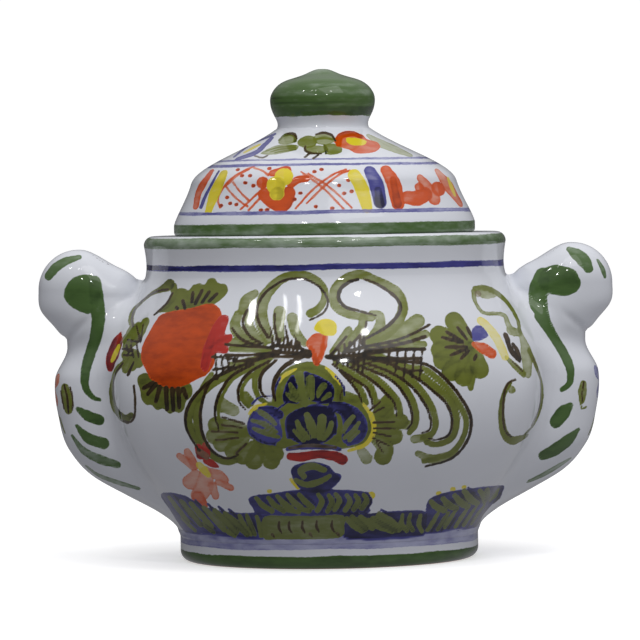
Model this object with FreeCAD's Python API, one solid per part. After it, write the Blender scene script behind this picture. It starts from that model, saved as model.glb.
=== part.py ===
"""Round glazed earthenware tureen: a bellied pot with two scroll handles, and a lid with a mushroom knob.

Millimetres. +Z is up, the origin is the centre of the foot on the table, the handles lie along X
and the front faces -Y.
"""

import FreeCAD, Part
import math
import os

from FreeCAD import Vector

# Foot ring
FOOT_RADIUS = 73.0
FOOT_HEIGHT = 12.0
FOOT_RING_WIDTH = 12.0
FOOT_EDGE_ROUND = 5.0

# Bowl
BELLY_RADIUS = 112.0
BELLY_RISE = 72.5           # top of the foot to the widest level
SHOULDER_RADIUS = 88.0
SHOULDER_RISE = 55.0        # widest level to the shoulder
FOOT_SWEEP = 11.0           # upright start of the wall above the foot
LOWER_FULLNESS = 36.0       # how long the wall stays upright below the widest level
UPPER_FULLNESS = 24.0       # and above it
SHOULDER_FLARE = 4.0
SHOULDER_SWEEP = 14.0
BOWL_WALL = 6.0
BOWL_FLOOR = 7.0
FLOOR_ROUND = 12.0

# Rim collar
COLLAR_HEIGHT = 19.5
COLLAR_WALL = 6.0
COLLAR_WAIST = 0.8          # depth of the waist under the lip
LIP_HEIGHT = 12.0
LIP_PROUD = 0.6
LIP_ROUND = 4.5
LEDGE_WIDTH = 20.5          # outside of the shoulder to the mouth
LEDGE_THICKNESS = 7.0
LEDGE_HAUNCH = 5.0          # slope that carries the ledge from the collar wall
MOUTH_ROUND = 1.5

# Handles: level slices of a scroll that stands off the bowl wall
GRIP_PROUD = 50.0           # stand-off of the grip at its widest level
GRIP_DROP = 6.2             # widest level of the grip, below the shoulder
GRIP_RISE = 19.7            # widest level of the grip to its crown
GRIP_CROWN_INSET = 19.6     # crown of the grip, in from its outermost point
GRIP_INNER_SPAN = 33.0      # crown to the root of the grip on the pot side
GRIP_HALF_WIDTH = 20.0
NOTCH_DROP = 31.8           # notch under the grip, below the shoulder
NOTCH_HALF_WIDTH = 22.0
LOBE_PROUD = 21.5           # stand-off of the lobe below the notch
LOBE_HALF_WIDTH = 31.0
LOBE_TAIL_RISE = 37.0       # height over which the lobe grows out of the bowl
LOBE_TAIL_START = 5.0       # lowest level of the lobe, above the foot
TAIL_HALF_WIDTH = 24.0
LOBE_ROOT = 38.0            # depth of the slices inside the bowl wall, before they are cut

# Lid
LID_SEAT_WIDTH = 6.2        # overlap of the lid on the ledge
LID_EDGE_HEIGHT = 5.0
LID_EDGE_ROUND = 1.6
LID_WALL_RISE = 20.2
LID_SHOULDER_INSET = 8.7
LID_DOME_RISE = 26.5
LID_DOME_FULLNESS = 9.5
LID_WALL = 5.0

# Lid flange
FLANGE_CLEARANCE = 1.5
FLANGE_WALL = 4.5
FLANGE_DEPTH = 12.0
FLANGE_ROUND = 1.5

# Knob
KNOB_SEAT_RADIUS = 22.6
KNOB_NECK_PINCH = 2.0
KNOB_RADIUS = 25.7
KNOB_WIDEST_RISE = 13.8
KNOB_CROWN_RISE = 15.1
KNOB_TOP_FLAT = 13.0

# Levels and radii that follow from the sizes above
BELLY_LEVEL = FOOT_HEIGHT + BELLY_RISE
SHOULDER_LEVEL = BELLY_LEVEL + SHOULDER_RISE
RIM_LEVEL = SHOULDER_LEVEL + COLLAR_HEIGHT
MOUTH_RADIUS = SHOULDER_RADIUS - LEDGE_WIDTH
LID_RADIUS = MOUTH_RADIUS + LID_SEAT_WIDTH
FLANGE_RADIUS = MOUTH_RADIUS - FLANGE_CLEARANCE
LID_BORE_RADIUS = FLANGE_RADIUS - FLANGE_WALL
LID_SHOULDER_LEVEL = RIM_LEVEL + LID_EDGE_HEIGHT + LID_WALL_RISE
KNOB_LEVEL = LID_SHOULDER_LEVEL + LID_DOME_RISE

AXIS = Vector(0, 0, 1)
ORIGIN = Vector(0, 0, 0)


def at(radius, height):
    """A point of a turned outline."""
    return Vector(radius, 0, height)


def line(start, end):
    return Part.LineSegment(start, end).toShape()


def bezier(poles):
    curve = Part.BezierCurve()
    curve.setPoles(poles)
    return curve


def quarter(start, corner, end):
    """A round edge: a quarter ellipse from start to end whose tangents meet at the corner."""
    centre = start + end - corner
    middle = centre + (start - centre) * math.sqrt(0.5) + (end - centre) * math.sqrt(0.5)
    return Part.Arc(start, middle, end).toShape()


def turned(edges):
    """The solid swept by a closed outline turned once about the axis."""
    face = Part.Face(Part.Wire(Part.__sortEdges__(edges)))
    return face.revolve(ORIGIN, AXIS, 360)


def inset(poles, wall):
    """Poles of the same curve, a wall's thickness nearer the axis and measured square to its ends."""
    def inward(tangent):
        return Vector(-tangent.z, 0, tangent.x).normalize() * wall

    first = inward(poles[1] - poles[0])
    last = inward(poles[3] - poles[2])
    return [poles[0] + first, poles[1] + first, poles[2] + last, poles[3] + last]


# Outline of the bowl wall, foot to shoulder
LOWER_WALL = [
    at(FOOT_RADIUS, FOOT_HEIGHT),
    at(FOOT_RADIUS, FOOT_HEIGHT + FOOT_SWEEP),
    at(BELLY_RADIUS, BELLY_LEVEL - LOWER_FULLNESS),
    at(BELLY_RADIUS, BELLY_LEVEL),
]
UPPER_WALL = [
    at(BELLY_RADIUS, BELLY_LEVEL),
    at(BELLY_RADIUS, BELLY_LEVEL + UPPER_FULLNESS),
    at(SHOULDER_RADIUS + SHOULDER_FLARE, SHOULDER_LEVEL - SHOULDER_SWEEP),
    at(SHOULDER_RADIUS, SHOULDER_LEVEL),
]

# Outline of the lid above its edge
LID_SIDE = [
    at(LID_RADIUS, RIM_LEVEL + LID_EDGE_HEIGHT),
    at(LID_RADIUS - LID_SHOULDER_INSET * 0.15, RIM_LEVEL + LID_EDGE_HEIGHT + LID_WALL_RISE * 0.25),
    at(LID_RADIUS - LID_SHOULDER_INSET * 0.72, LID_SHOULDER_LEVEL - LID_WALL_RISE * 0.40),
    at(LID_RADIUS - LID_SHOULDER_INSET, LID_SHOULDER_LEVEL),
]
LID_DOME = [
    LID_SIDE[3],
    LID_SIDE[3] + (LID_SIDE[3] - LID_SIDE[2]).normalize() * LID_DOME_FULLNESS,
    at(KNOB_SEAT_RADIUS + LID_DOME_RISE * 0.58, KNOB_LEVEL - LID_DOME_RISE * 0.41),
    at(KNOB_SEAT_RADIUS, KNOB_LEVEL),
]


def bowl_outside():
    """The bowl as a filled form, which the handles are fitted against."""
    return turned([
        line(at(0, FOOT_HEIGHT), LOWER_WALL[0]),
        bezier(LOWER_WALL).toShape(),
        bezier(UPPER_WALL).toShape(),
        line(UPPER_WALL[3], at(0, SHOULDER_LEVEL)),
        line(at(0, SHOULDER_LEVEL), at(0, FOOT_HEIGHT)),
    ])


def bowl():
    """Hollow belly with a flat floor, open at the shoulder."""
    lower = inset(LOWER_WALL, BOWL_WALL)
    upper = inset(UPPER_WALL, BOWL_WALL)
    upper[3] = at(SHOULDER_RADIUS - BOWL_WALL, SHOULDER_LEVEL)
    cavity = turned([
        line(at(0, lower[0].z), lower[0]),
        bezier(lower).toShape(),
        bezier(upper).toShape(),
        line(upper[3], at(0, SHOULDER_LEVEL)),
        line(at(0, SHOULDER_LEVEL), at(0, lower[0].z)),
    ])
    floor = Part.makeCylinder(BELLY_RADIUS, BOWL_FLOOR, at(0, FOOT_HEIGHT), AXIS)
    cavity = cavity.cut(floor)
    floor_level = FOOT_HEIGHT + BOWL_FLOOR
    corner = [edge for edge in cavity.Edges
              if abs(edge.BoundBox.ZMax - floor_level) < 0.01 and edge.Length > FOOT_RADIUS]
    cavity = cavity.makeFillet(FLOOR_ROUND, corner)
    return bowl_outside().cut(cavity)


def rim_collar():
    """Upright collar with a rounded lip and an inward ledge for the lid."""
    lip = SHOULDER_RADIUS + LIP_PROUD
    lip_foot = RIM_LEVEL - LIP_HEIGHT
    inside = SHOULDER_RADIUS - COLLAR_WALL
    ledge_under = RIM_LEVEL - LEDGE_THICKNESS
    return turned([
        bezier([
            at(SHOULDER_RADIUS, SHOULDER_LEVEL),
            at(SHOULDER_RADIUS - COLLAR_WAIST, SHOULDER_LEVEL + (lip_foot - SHOULDER_LEVEL) * 0.5),
            at(SHOULDER_RADIUS - COLLAR_WAIST, lip_foot),
            at(lip, RIM_LEVEL - LIP_ROUND),
        ]).toShape(),
        quarter(at(lip, RIM_LEVEL - LIP_ROUND), at(lip, RIM_LEVEL), at(lip - LIP_ROUND, RIM_LEVEL)),
        line(at(lip - LIP_ROUND, RIM_LEVEL), at(MOUTH_RADIUS + MOUTH_ROUND, RIM_LEVEL)),
        quarter(at(MOUTH_RADIUS + MOUTH_ROUND, RIM_LEVEL), at(MOUTH_RADIUS, RIM_LEVEL),
                at(MOUTH_RADIUS, RIM_LEVEL - MOUTH_ROUND)),
        line(at(MOUTH_RADIUS, RIM_LEVEL - MOUTH_ROUND), at(MOUTH_RADIUS, ledge_under)),
        line(at(MOUTH_RADIUS, ledge_under), at(inside - LEDGE_HAUNCH, ledge_under)),
        line(at(inside - LEDGE_HAUNCH, ledge_under), at(inside, ledge_under - LEDGE_HAUNCH)),
        line(at(inside, ledge_under - LEDGE_HAUNCH), at(inside, SHOULDER_LEVEL)),
        line(at(inside, SHOULDER_LEVEL), at(SHOULDER_RADIUS, SHOULDER_LEVEL)),
    ])


def foot_ring():
    """Ring under the bowl with rounded bottom edges."""
    inside = FOOT_RADIUS - FOOT_RING_WIDTH
    round_inside = FOOT_RING_WIDTH - FOOT_EDGE_ROUND * 1.5
    return turned([
        line(at(FOOT_RADIUS, FOOT_HEIGHT), at(FOOT_RADIUS, FOOT_EDGE_ROUND)),
        quarter(at(FOOT_RADIUS, FOOT_EDGE_ROUND), at(FOOT_RADIUS, 0), at(FOOT_RADIUS - FOOT_EDGE_ROUND, 0)),
        line(at(FOOT_RADIUS - FOOT_EDGE_ROUND, 0), at(inside + round_inside, 0)),
        line(at(inside + round_inside, 0), at(inside, FOOT_HEIGHT)),
        line(at(inside, FOOT_HEIGHT), at(FOOT_RADIUS, FOOT_HEIGHT)),
    ])


def bowl_radius(height):
    """Radius of the bowl's outside at a level."""
    poles = LOWER_WALL if height < BELLY_LEVEL else UPPER_WALL
    level = Part.LineSegment(at(0, height), at(BELLY_RADIUS * 2, height))
    return max(point.X for point in bezier(poles).intersectCC(level))


def slice_wire(height, inner, outer, half_width):
    """A level elliptical slice from the inner to the outer reach."""
    middle = Vector((inner + outer) / 2, 0, height)
    along = (outer - inner) / 2
    major = Vector(middle.x + along, 0, height)
    minor = Vector(middle.x, half_width, height)
    if half_width > along:
        major, minor = minor, Vector(middle.x - along, 0, height)
    return Part.Wire(Part.Ellipse(major, minor, middle).toShape())


def handle():
    """Scroll handle on +X: a bulbous grip, a notch under it and a lobe that dies into the bowl at the foot."""
    grip_level = SHOULDER_LEVEL - GRIP_DROP
    notch_level = SHOULDER_LEVEL - NOTCH_DROP
    tail_level = FOOT_HEIGHT + LOBE_TAIL_START
    full_level = tail_level + LOBE_TAIL_RISE
    slices = []

    # The tail swells out of the bowl wall to a little over the full stand-off
    for share, proud in ((0.0, -0.05), (0.2, 0.19), (0.42, 0.56), (0.66, 0.94), (1.0, 1.08)):
        half_width = TAIL_HALF_WIDTH + (LOBE_HALF_WIDTH - TAIL_HALF_WIDTH) * share
        slices.append((tail_level + LOBE_TAIL_RISE * share, LOBE_PROUD * proud, half_width, LOBE_ROOT))

    # The lobe follows the belly up to the notch
    for share in (0.33, 0.67, 1.0):
        half_width = LOBE_HALF_WIDTH + (NOTCH_HALF_WIDTH - LOBE_HALF_WIDTH) * share ** 2
        slices.append((full_level + (notch_level - full_level) * share, LOBE_PROUD, half_width, LOBE_ROOT))

    # The underside of the grip swings out from the notch
    for share, swing in ((0.27, 0.31), (0.62, 0.76)):
        half_width = NOTCH_HALF_WIDTH + (GRIP_HALF_WIDTH - NOTCH_HALF_WIDTH) * share
        slices.append((notch_level + (grip_level - notch_level) * share,
                       LOBE_PROUD + (GRIP_PROUD - LOBE_PROUD) * swing,
                       half_width, LOBE_ROOT * (1 - share)))

    wires = []
    for height, proud, half_width, root in slices:
        wall = bowl_radius(height)
        wires.append(slice_wire(height, wall - root, wall + proud, half_width))

    # The crown is a quarter ellipse, turned from the widest level of the grip up to its top
    crown = bowl_radius(grip_level) + GRIP_PROUD - GRIP_CROWN_INSET
    for degrees in (90, 66, 44, 26, 12):
        spread = math.sin(math.radians(degrees))
        wires.append(slice_wire(grip_level + GRIP_RISE * math.cos(math.radians(degrees)),
                                crown - GRIP_INNER_SPAN * spread,
                                crown + GRIP_CROWN_INSET * spread,
                                GRIP_HALF_WIDTH * spread))
    wires.append(Part.Vertex(crown, 0, grip_level + GRIP_RISE))
    return Part.makeLoft(wires, True, False).cut(bowl_outside())


def lid():
    """Hollow dome with a thick flat seating edge and a level pad for the knob."""
    edge_top = LID_SIDE[0]
    inner_side = at(LID_BORE_RADIUS, LID_SHOULDER_LEVEL - LID_WALL_RISE * 0.5)
    inner_dome = inset(LID_DOME, LID_WALL)
    return turned([
        line(at(LID_BORE_RADIUS, RIM_LEVEL), at(LID_RADIUS - LID_EDGE_ROUND, RIM_LEVEL)),
        quarter(at(LID_RADIUS - LID_EDGE_ROUND, RIM_LEVEL), at(LID_RADIUS, RIM_LEVEL),
                at(LID_RADIUS, RIM_LEVEL + LID_EDGE_ROUND)),
        line(at(LID_RADIUS, RIM_LEVEL + LID_EDGE_ROUND), edge_top),
        bezier(LID_SIDE).toShape(),
        bezier(LID_DOME).toShape(),
        line(LID_DOME[3], at(0, KNOB_LEVEL)),
        line(at(0, KNOB_LEVEL), at(0, inner_dome[3].z)),
        line(at(0, inner_dome[3].z), inner_dome[3]),
        bezier(inner_dome).toShape(),
        line(inner_dome[0], inner_side),
        line(inner_side, at(LID_BORE_RADIUS, RIM_LEVEL)),
    ])


def lid_flange():
    """Ring under the lid that drops into the mouth."""
    bottom = RIM_LEVEL - FLANGE_DEPTH
    return turned([
        line(at(FLANGE_RADIUS, RIM_LEVEL), at(FLANGE_RADIUS, bottom + FLANGE_ROUND)),
        quarter(at(FLANGE_RADIUS, bottom + FLANGE_ROUND), at(FLANGE_RADIUS, bottom),
                at(FLANGE_RADIUS - FLANGE_ROUND, bottom)),
        line(at(FLANGE_RADIUS - FLANGE_ROUND, bottom), at(LID_BORE_RADIUS, bottom)),
        line(at(LID_BORE_RADIUS, bottom), at(LID_BORE_RADIUS, RIM_LEVEL)),
        line(at(LID_BORE_RADIUS, RIM_LEVEL), at(FLANGE_RADIUS, RIM_LEVEL)),
    ])


def lid_knob():
    """Mushroom knob: a short pinched neck, a full edge and a low crown."""
    widest = KNOB_LEVEL + KNOB_WIDEST_RISE
    top = widest + KNOB_CROWN_RISE
    return turned([
        bezier([
            at(KNOB_SEAT_RADIUS, KNOB_LEVEL),
            at(KNOB_SEAT_RADIUS - KNOB_NECK_PINCH, KNOB_LEVEL + KNOB_WIDEST_RISE * 0.3),
            at(KNOB_RADIUS, widest - KNOB_WIDEST_RISE * 0.55),
            at(KNOB_RADIUS, widest),
        ]).toShape(),
        bezier([
            at(KNOB_RADIUS, widest),
            at(KNOB_RADIUS, widest + KNOB_CROWN_RISE * 0.5),
            at(KNOB_TOP_FLAT, top),
            at(0, top),
        ]).toShape(),
        line(at(0, top), at(0, KNOB_LEVEL)),
        line(at(0, KNOB_LEVEL), at(KNOB_SEAT_RADIUS, KNOB_LEVEL)),
    ])


def main():
    right = handle()
    nodes = {
        "bowl": bowl(),
        "rim_collar": rim_collar(),
        "foot_ring": foot_ring(),
        "right_handle": right,
        "left_handle": right.mirror(ORIGIN, Vector(1, 0, 0)),
        "lid": lid(),
        "lid_flange": lid_flange(),
        "lid_knob": lid_knob(),
    }
    os.makedirs("parts", exist_ok=True)
    for name, shape in nodes.items():
        shape.exportStep(os.path.join("parts", name + ".step"))
        print(f"{name}: {shape.ShapeType}, solids {len(shape.Solids)}, valid {shape.isValid()}, "
              f"{shape.Volume / 1000:.1f} cm3")


main()
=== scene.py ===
"""Glazed earthenware tureen with brushed decoration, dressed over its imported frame.

Forms and brush strokes are written in millimetres and turned into metres when a mesh is made.
The front faces -Y. Strokes are placed on the upright plane through the axis, u to the right and v up,
and land on the skin along the line from the photograph's eye point.
"""

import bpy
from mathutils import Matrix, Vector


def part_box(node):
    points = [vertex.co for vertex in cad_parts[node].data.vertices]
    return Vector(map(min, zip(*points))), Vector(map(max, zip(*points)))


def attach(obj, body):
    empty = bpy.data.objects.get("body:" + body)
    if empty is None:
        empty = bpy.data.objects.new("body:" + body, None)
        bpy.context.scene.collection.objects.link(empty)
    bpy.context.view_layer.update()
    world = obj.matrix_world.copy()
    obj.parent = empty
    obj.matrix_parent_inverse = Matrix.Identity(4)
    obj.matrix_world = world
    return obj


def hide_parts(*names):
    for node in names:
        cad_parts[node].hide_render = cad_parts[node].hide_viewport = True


bl_info = {
    "name": "Painted Tureen",
    "version": (1, 0, 0),
    "blender": (4, 5, 0),
    "location": "3D View > Sidebar > Tureen",
    "description": "Builds the glazed skin, the brushed decoration and the studio of a lidded tureen",
    "category": "Add Mesh",
}

import math
from collections import namedtuple
from functools import partial

import bpy
import numpy as np
from bpy.props import FloatProperty, FloatVectorProperty, PointerProperty
from mathutils import Matrix, Vector, kdtree

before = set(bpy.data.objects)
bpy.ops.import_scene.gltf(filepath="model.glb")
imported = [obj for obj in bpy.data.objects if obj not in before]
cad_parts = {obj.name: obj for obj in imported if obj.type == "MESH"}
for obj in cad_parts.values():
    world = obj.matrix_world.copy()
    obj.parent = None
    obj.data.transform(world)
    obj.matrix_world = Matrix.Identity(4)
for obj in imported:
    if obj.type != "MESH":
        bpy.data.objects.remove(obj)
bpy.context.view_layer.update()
MM = 0.001


def box_mm(node):
    """Lowest and highest corner of a frame node, in millimetres."""
    low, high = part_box(node)
    return np.array(low) / MM, np.array(high) / MM


# Levels and radii taken from the frame
FOOT_TOP = box_mm("foot_ring")[1][2]
FOOT_RADIUS = box_mm("foot_ring")[1][0]
BELLY_RADIUS = box_mm("bowl")[1][1]
SHOULDER = box_mm("bowl")[1][2]
RIM = box_mm("rim_collar")[1][2]
LIP_RADIUS = box_mm("rim_collar")[1][0]
LID_RADIUS = box_mm("lid")[1][0]
KNOB_SEAT = box_mm("lid_knob")[0][2]
KNOB_RADIUS = box_mm("lid_knob")[1][0]
KNOB_TOP = box_mm("lid_knob")[1][2]
FLANGE_RADIUS = box_mm("lid_flange")[1][0]
FLANGE_BOTTOM = box_mm("lid_flange")[0][2]

# Bowl, collar and foot, with the pulls of their curves
BELLY_LEVEL = 84.5
FOOT_SWEEP = 11.0
LOWER_FULLNESS = 36.0
UPPER_FULLNESS = 24.0
SHOULDER_RADIUS = 88.0
SHOULDER_FLARE = 4.0
SHOULDER_SWEEP = 14.0
COLLAR_WAIST = 0.8
COLLAR_WAIST_RISE = 7.5
WALL = 6.0
FLOOR = 7.0
FLOOR_ROUND = 12.0
FOOT_WIDTH = 12.0
FOOT_ROUND = 5.0
LIP_ROUND = 4.5
MOUTH_RADIUS = 67.5
MOUTH_ROUND = 1.5
LEDGE = 7.0
HAUNCH = 5.0

# Lid and knob, with the pulls of their curves across and up
LID_EDGE = 5.0
LID_EDGE_ROUND = 1.6
LID_EDGE_PULL = (1.3, 5.05)
LID_SHOULDER = 184.2
LID_SHOULDER_RADIUS = 65.0
LID_SHOULDER_PULL = (2.44, 8.08)
LID_DOME_PULL = 9.5
LID_SEAT_PULL = (15.37, 10.87)
LID_BORE = 61.5
LID_BORE_DROP = 10.1
LID_WALL = 5.0
FLANGE_ROUND = 1.5
KNOB_SEAT_RADIUS = 22.6
KNOB_NECK_PULL = (2.0, 4.14)
KNOB_FLARE_PULL = 6.21
KNOB_WIDEST = 224.5
KNOB_EDGE_PULL = 7.55
KNOB_POINT_PULL = 13.0

# Hollow between the knob's edge and its point: depth, and shares of the radius over which it falls and rises
KNOB_DIP = 1.6
KNOB_DIP_FALLS = (0.06, 0.4)
KNOB_DIP_RISES = (0.45, 0.9)

# Handles: level slices that stand off the wall
GRIP_LEVEL = 133.3
GRIP_RISE = 19.7
GRIP_PROUD = 50.0
GRIP_INSET = 19.6
GRIP_INNER = 33.0
GRIP_HALF = 20.0
NOTCH_LEVEL = 107.7
NOTCH_HALF = 22.0
LOBE_LEVEL = 54.0
LOBE_PROUD = 21.5
LOBE_HALF = 31.0
TAIL_LEVEL = 17.0
TAIL_HALF = 24.0
ROOT = 38.0

# Shares of the way up the tail, the lobe and the grip at which a slice is set, with how far it stands proud
TAIL_SLICES = ((0.0, -0.05), (0.2, 0.19), (0.42, 0.56), (0.66, 0.94), (1.0, 1.08))
LOBE_SLICES = (0.33, 0.67, 1.0)
GRIP_SLICES = ((0.27, 0.31), (0.62, 0.76))

# Dip between a grip's crown and the collar: depth, and the lengths over which it grows inward and upward
GRIP_DIP = 5.0
GRIP_DIP_INWARD = (1.0, 20.0)
GRIP_DIP_UPWARD = (-10.0, 4.0)

# Crease under a grip: depth, place, lean, spread, and the lengths over which it fades inward
CREASE = 1.1
CREASE_OUT = 7.5
CREASE_UP = 1.2
CREASE_LEAN = (0.61, 0.79)
CREASE_SPREAD = 2.0
CREASE_FADES = (17.0, 7.0)

# Soft joint of handle and bowl: levels over which it grows and tightens, and how much of it is left
JOINT_GROWS = (18.0, 46.0)
JOINT_LEAST = 0.1
JOINT_TIGHTENS = (116.0, 134.0)
JOINT_LOSS = 0.72

# Flute beside each lobe and the bank beyond it: degrees from the side, and levels of growing and fading
FLUTE_SIDE = 17.0
FLUTE_SPREAD = 6.5
BANK_SIDE = 34.0
BANK_SPREAD = 8.0
BANK_SHARE = 0.55
FLUTE_GROWS = (26.0, 46.0)
FLUTE_FADES = (78.0, 104.0)

# Mesh: columns of the turned pieces and of a handle, steps along outlines, and the angle of a sharp edge
COLLAR_COLUMNS = 480
FOOT_COLUMNS = 420
LID_COLUMNS = 640
PLAIN_COLUMNS = 240
HANDLE_COLUMNS = 160
LID_STEP = 0.65
FOOT_STEP = 0.8
RING_STEP = 0.9
HIDDEN_STEP = 3.0
SHARP_ANGLE = math.radians(38.0)

# Mesh of the bowl: wide columns under the handles, one column in four where it is plain, rings of the bottom
UNDER_HANDLE = math.radians(9.0)
UNDER_HANDLE_STEP = 4.0
PLAIN_SHARE = 4
BOTTOM_RADII = (24.0, 48.0, FOOT_RADIUS - 1.0)

# Eye point and picture of the photograph
EYE = np.array((0.0, -2205.0, 178.0))
AIM = np.array((-2.9, 0.0, 116.7))
ROLL = math.radians(0.9)
FOCAL_PIXELS = 4500.0
PICTURE_PIXELS = 640.0

# Pigments in the order in which they lie, as screen colours of a thin wash, a full stroke and a thick pool
SHADES = ("thin", "full", "thick")
PIGMENTS = {
    "olive": ((164, 171, 100), (112, 120, 46), (50, 54, 22)),
    "orange": ((232, 158, 106), (208, 78, 8), (132, 40, 4)),
    "red": ((206, 124, 118), (182, 44, 34), (96, 16, 24)),
    "yellow": ((232, 224, 134), (226, 208, 46), (178, 162, 26)),
    "blue": ((170, 172, 214), (72, 72, 146), (16, 14, 56)),
    "vein": ((156, 162, 102), (108, 117, 56), (60, 68, 36)),
    "green": ((158, 178, 146), (78, 106, 56), (42, 64, 32)),
    "brown": ((150, 136, 108), (70, 55, 32), (30, 23, 13)),
}
LAYERS = tuple(PIGMENTS)
BARE = -9.0

# Share of the depth that counts in a stroke's width, so that strokes keep their look on slanting walls
DEPTH_WEIGHT = 0.42

# How strokes land: the least turn to the eye where they land and where their width reaches, and lengths
LANDS_FACING = 0.04
REACHES_FACING = -0.5
LANDING_GAP = 2.5
LANDING_SLIP = 3.0
STROKE_MARGIN = 3.0
FINEST_HALF = 0.3

# How thick pigment lies: across its edge, in a stroke's body, at its sides, along its way and over itself
PAINT_EDGE = (-0.3, 0.5)
STROKE_BODY = 0.86
STROKE_SIDES = 0.2
STROKE_RUN = 0.18
OVERLAP = 0.3

# Blue wash where the bowl stands on the foot
FOOT_WASH = {
    "low": FOOT_TOP - 2.6,
    "high": FOOT_TOP + 4.3,
    "load": 0.4,
    "wobble": 0.6,
    "phase": 1.0,
    "fade": 0.3,
}


def linear(rgb):
    """Linear colour from screen values of 0 to 255."""
    shares = [value / 255.0 for value in rgb]
    return tuple(s / 12.92 if s <= 0.04045 else ((s + 0.055) / 1.055) ** 2.4 for s in shares)


class GlazeColours(bpy.types.PropertyGroup):
    """Look of the glaze, the clay and each pigment."""

    glaze: FloatVectorProperty(
        name="Glaze", description="White tin glaze", subtype="COLOR", default=(0.76, 0.78, 0.83))
    clay: FloatVectorProperty(
        name="Clay", description="Bare fired clay under the foot", subtype="COLOR",
        default=(0.55, 0.36, 0.24))
    roughness: FloatProperty(
        name="Roughness", description="Gloss of the fired glaze", subtype="FACTOR",
        default=0.06, min=0.0, max=1.0)
    waviness: FloatProperty(
        name="Waviness", description="Strength of the slow waves in the glaze", subtype="FACTOR",
        default=0.10, min=0.0, max=1.0)


for pigment, shades in PIGMENTS.items():
    for shade, value in zip(SHADES, shades):
        GlazeColours.__annotations__[f"{pigment}_{shade}"] = FloatVectorProperty(
            name=f"{pigment.title()}, {shade}", description=f"The {pigment} pigment where it lies {shade}",
            subtype="COLOR", default=linear(value))


class SkinShape(bpy.types.PropertyGroup):
    """Sizes of the skin that a user would change."""

    fillet: FloatProperty(
        name="Fillet", description="Reach of the soft joint between handle and bowl", unit="LENGTH",
        default=0.015, min=0.001)
    flute: FloatProperty(
        name="Flute", description="Depth of the soft flute beside each lobe", unit="LENGTH",
        default=0.003, min=0.0)
    front_step: FloatProperty(
        name="Front step", description="Mesh step on the front", unit="LENGTH",
        default=0.001, min=0.0004)
    back_step: FloatProperty(
        name="Back step", description="Mesh step on the back", unit="LENGTH",
        default=0.0014, min=0.0004)
    handle_step: FloatProperty(
        name="Handle step", description="Mesh step on the handles", unit="LENGTH",
        default=0.0012, min=0.0004)

    def mm(self, name):
        """One of the sizes in millimetres."""
        return round(getattr(self, name) / MM, 4)


class StudioLook(bpy.types.PropertyGroup):
    """Floor and light of the studio."""

    floor: FloatVectorProperty(
        name="Floor", description="Plain pale floor", subtype="COLOR", default=(0.86, 0.86, 0.86))
    floor_glow: FloatProperty(
        name="Floor glow", description="Light of the floor itself, as on a lit table", default=0.5, min=0.0)
    backdrop: FloatProperty(
        name="Backdrop", description="Brightness of the backdrop behind the floor", default=1.05, min=0.0)
    sky: FloatProperty(
        name="Sky", description="Strength of the soft surround", default=0.95, min=0.0)


def bezier(poles, count):
    """Points of a cubic curve, ends included."""
    t = np.linspace(0.0, 1.0, count)[:, None]
    p = np.array(poles, float)
    return (1 - t) ** 3 * p[0] + 3 * (1 - t) ** 2 * t * p[1] + 3 * (1 - t) * t ** 2 * p[2] + t ** 3 * p[3]


def quarter(start, corner, end, count=7):
    """Points of a round edge from start to end whose tangents meet at the corner."""
    start, corner, end = (np.array(p, float) for p in (start, corner, end))
    centre = start + end - corner
    angle = np.linspace(0.0, math.pi / 2, count)[:, None]
    return centre + (start - centre) * np.cos(angle) + (end - centre) * np.sin(angle)


def smooth(low, high, value):
    """Soft step from 0 at low to 1 at high."""
    t = np.clip((value - low) / (high - low), 0.0, 1.0)
    return t * t * (3 - 2 * t)


def resampled(points, step):
    """The same polyline with even steps."""
    points = np.array(points, float)
    length = np.concatenate(([0.0], np.cumsum(np.linalg.norm(np.diff(points, axis=0), axis=1))))
    count = max(2, int(round(length[-1] / step)) + 1)
    at = np.linspace(0.0, length[-1], count)
    return np.stack([np.interp(at, length, points[:, k]) for k in range(points.shape[1])], axis=1)


# Outlines of the bowl and the collar, foot to rim, and of the lid, edge to knob
LOWER_WALL = (
    (FOOT_RADIUS, FOOT_TOP),
    (FOOT_RADIUS, FOOT_TOP + FOOT_SWEEP),
    (BELLY_RADIUS, BELLY_LEVEL - LOWER_FULLNESS),
    (BELLY_RADIUS, BELLY_LEVEL),
)
UPPER_WALL = (
    (BELLY_RADIUS, BELLY_LEVEL),
    (BELLY_RADIUS, BELLY_LEVEL + UPPER_FULLNESS),
    (SHOULDER_RADIUS + SHOULDER_FLARE, SHOULDER - SHOULDER_SWEEP),
    (SHOULDER_RADIUS, SHOULDER),
)
COLLAR_WALL = (
    (SHOULDER_RADIUS, SHOULDER),
    (SHOULDER_RADIUS - COLLAR_WAIST, SHOULDER + COLLAR_WAIST_RISE / 2),
    (SHOULDER_RADIUS - COLLAR_WAIST, SHOULDER + COLLAR_WAIST_RISE),
    (LIP_RADIUS, RIM - LIP_ROUND),
)
LID_SIDE = (
    (LID_RADIUS, RIM + LID_EDGE),
    (LID_RADIUS - LID_EDGE_PULL[0], RIM + LID_EDGE + LID_EDGE_PULL[1]),
    (LID_SHOULDER_RADIUS + LID_SHOULDER_PULL[0], LID_SHOULDER - LID_SHOULDER_PULL[1]),
    (LID_SHOULDER_RADIUS, LID_SHOULDER),
)
LID_RUN = np.subtract(LID_SIDE[3], LID_SIDE[2])
LID_DOME = (
    LID_SIDE[3],
    tuple(np.add(LID_SIDE[3], LID_RUN / np.linalg.norm(LID_RUN) * LID_DOME_PULL)),
    (KNOB_SEAT_RADIUS + LID_SEAT_PULL[0], KNOB_SEAT - LID_SEAT_PULL[1]),
    (KNOB_SEAT_RADIUS, KNOB_SEAT),
)
BOWL_WALL = np.concatenate((bezier(LOWER_WALL, 300), bezier(UPPER_WALL, 200)[1:]))
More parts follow.
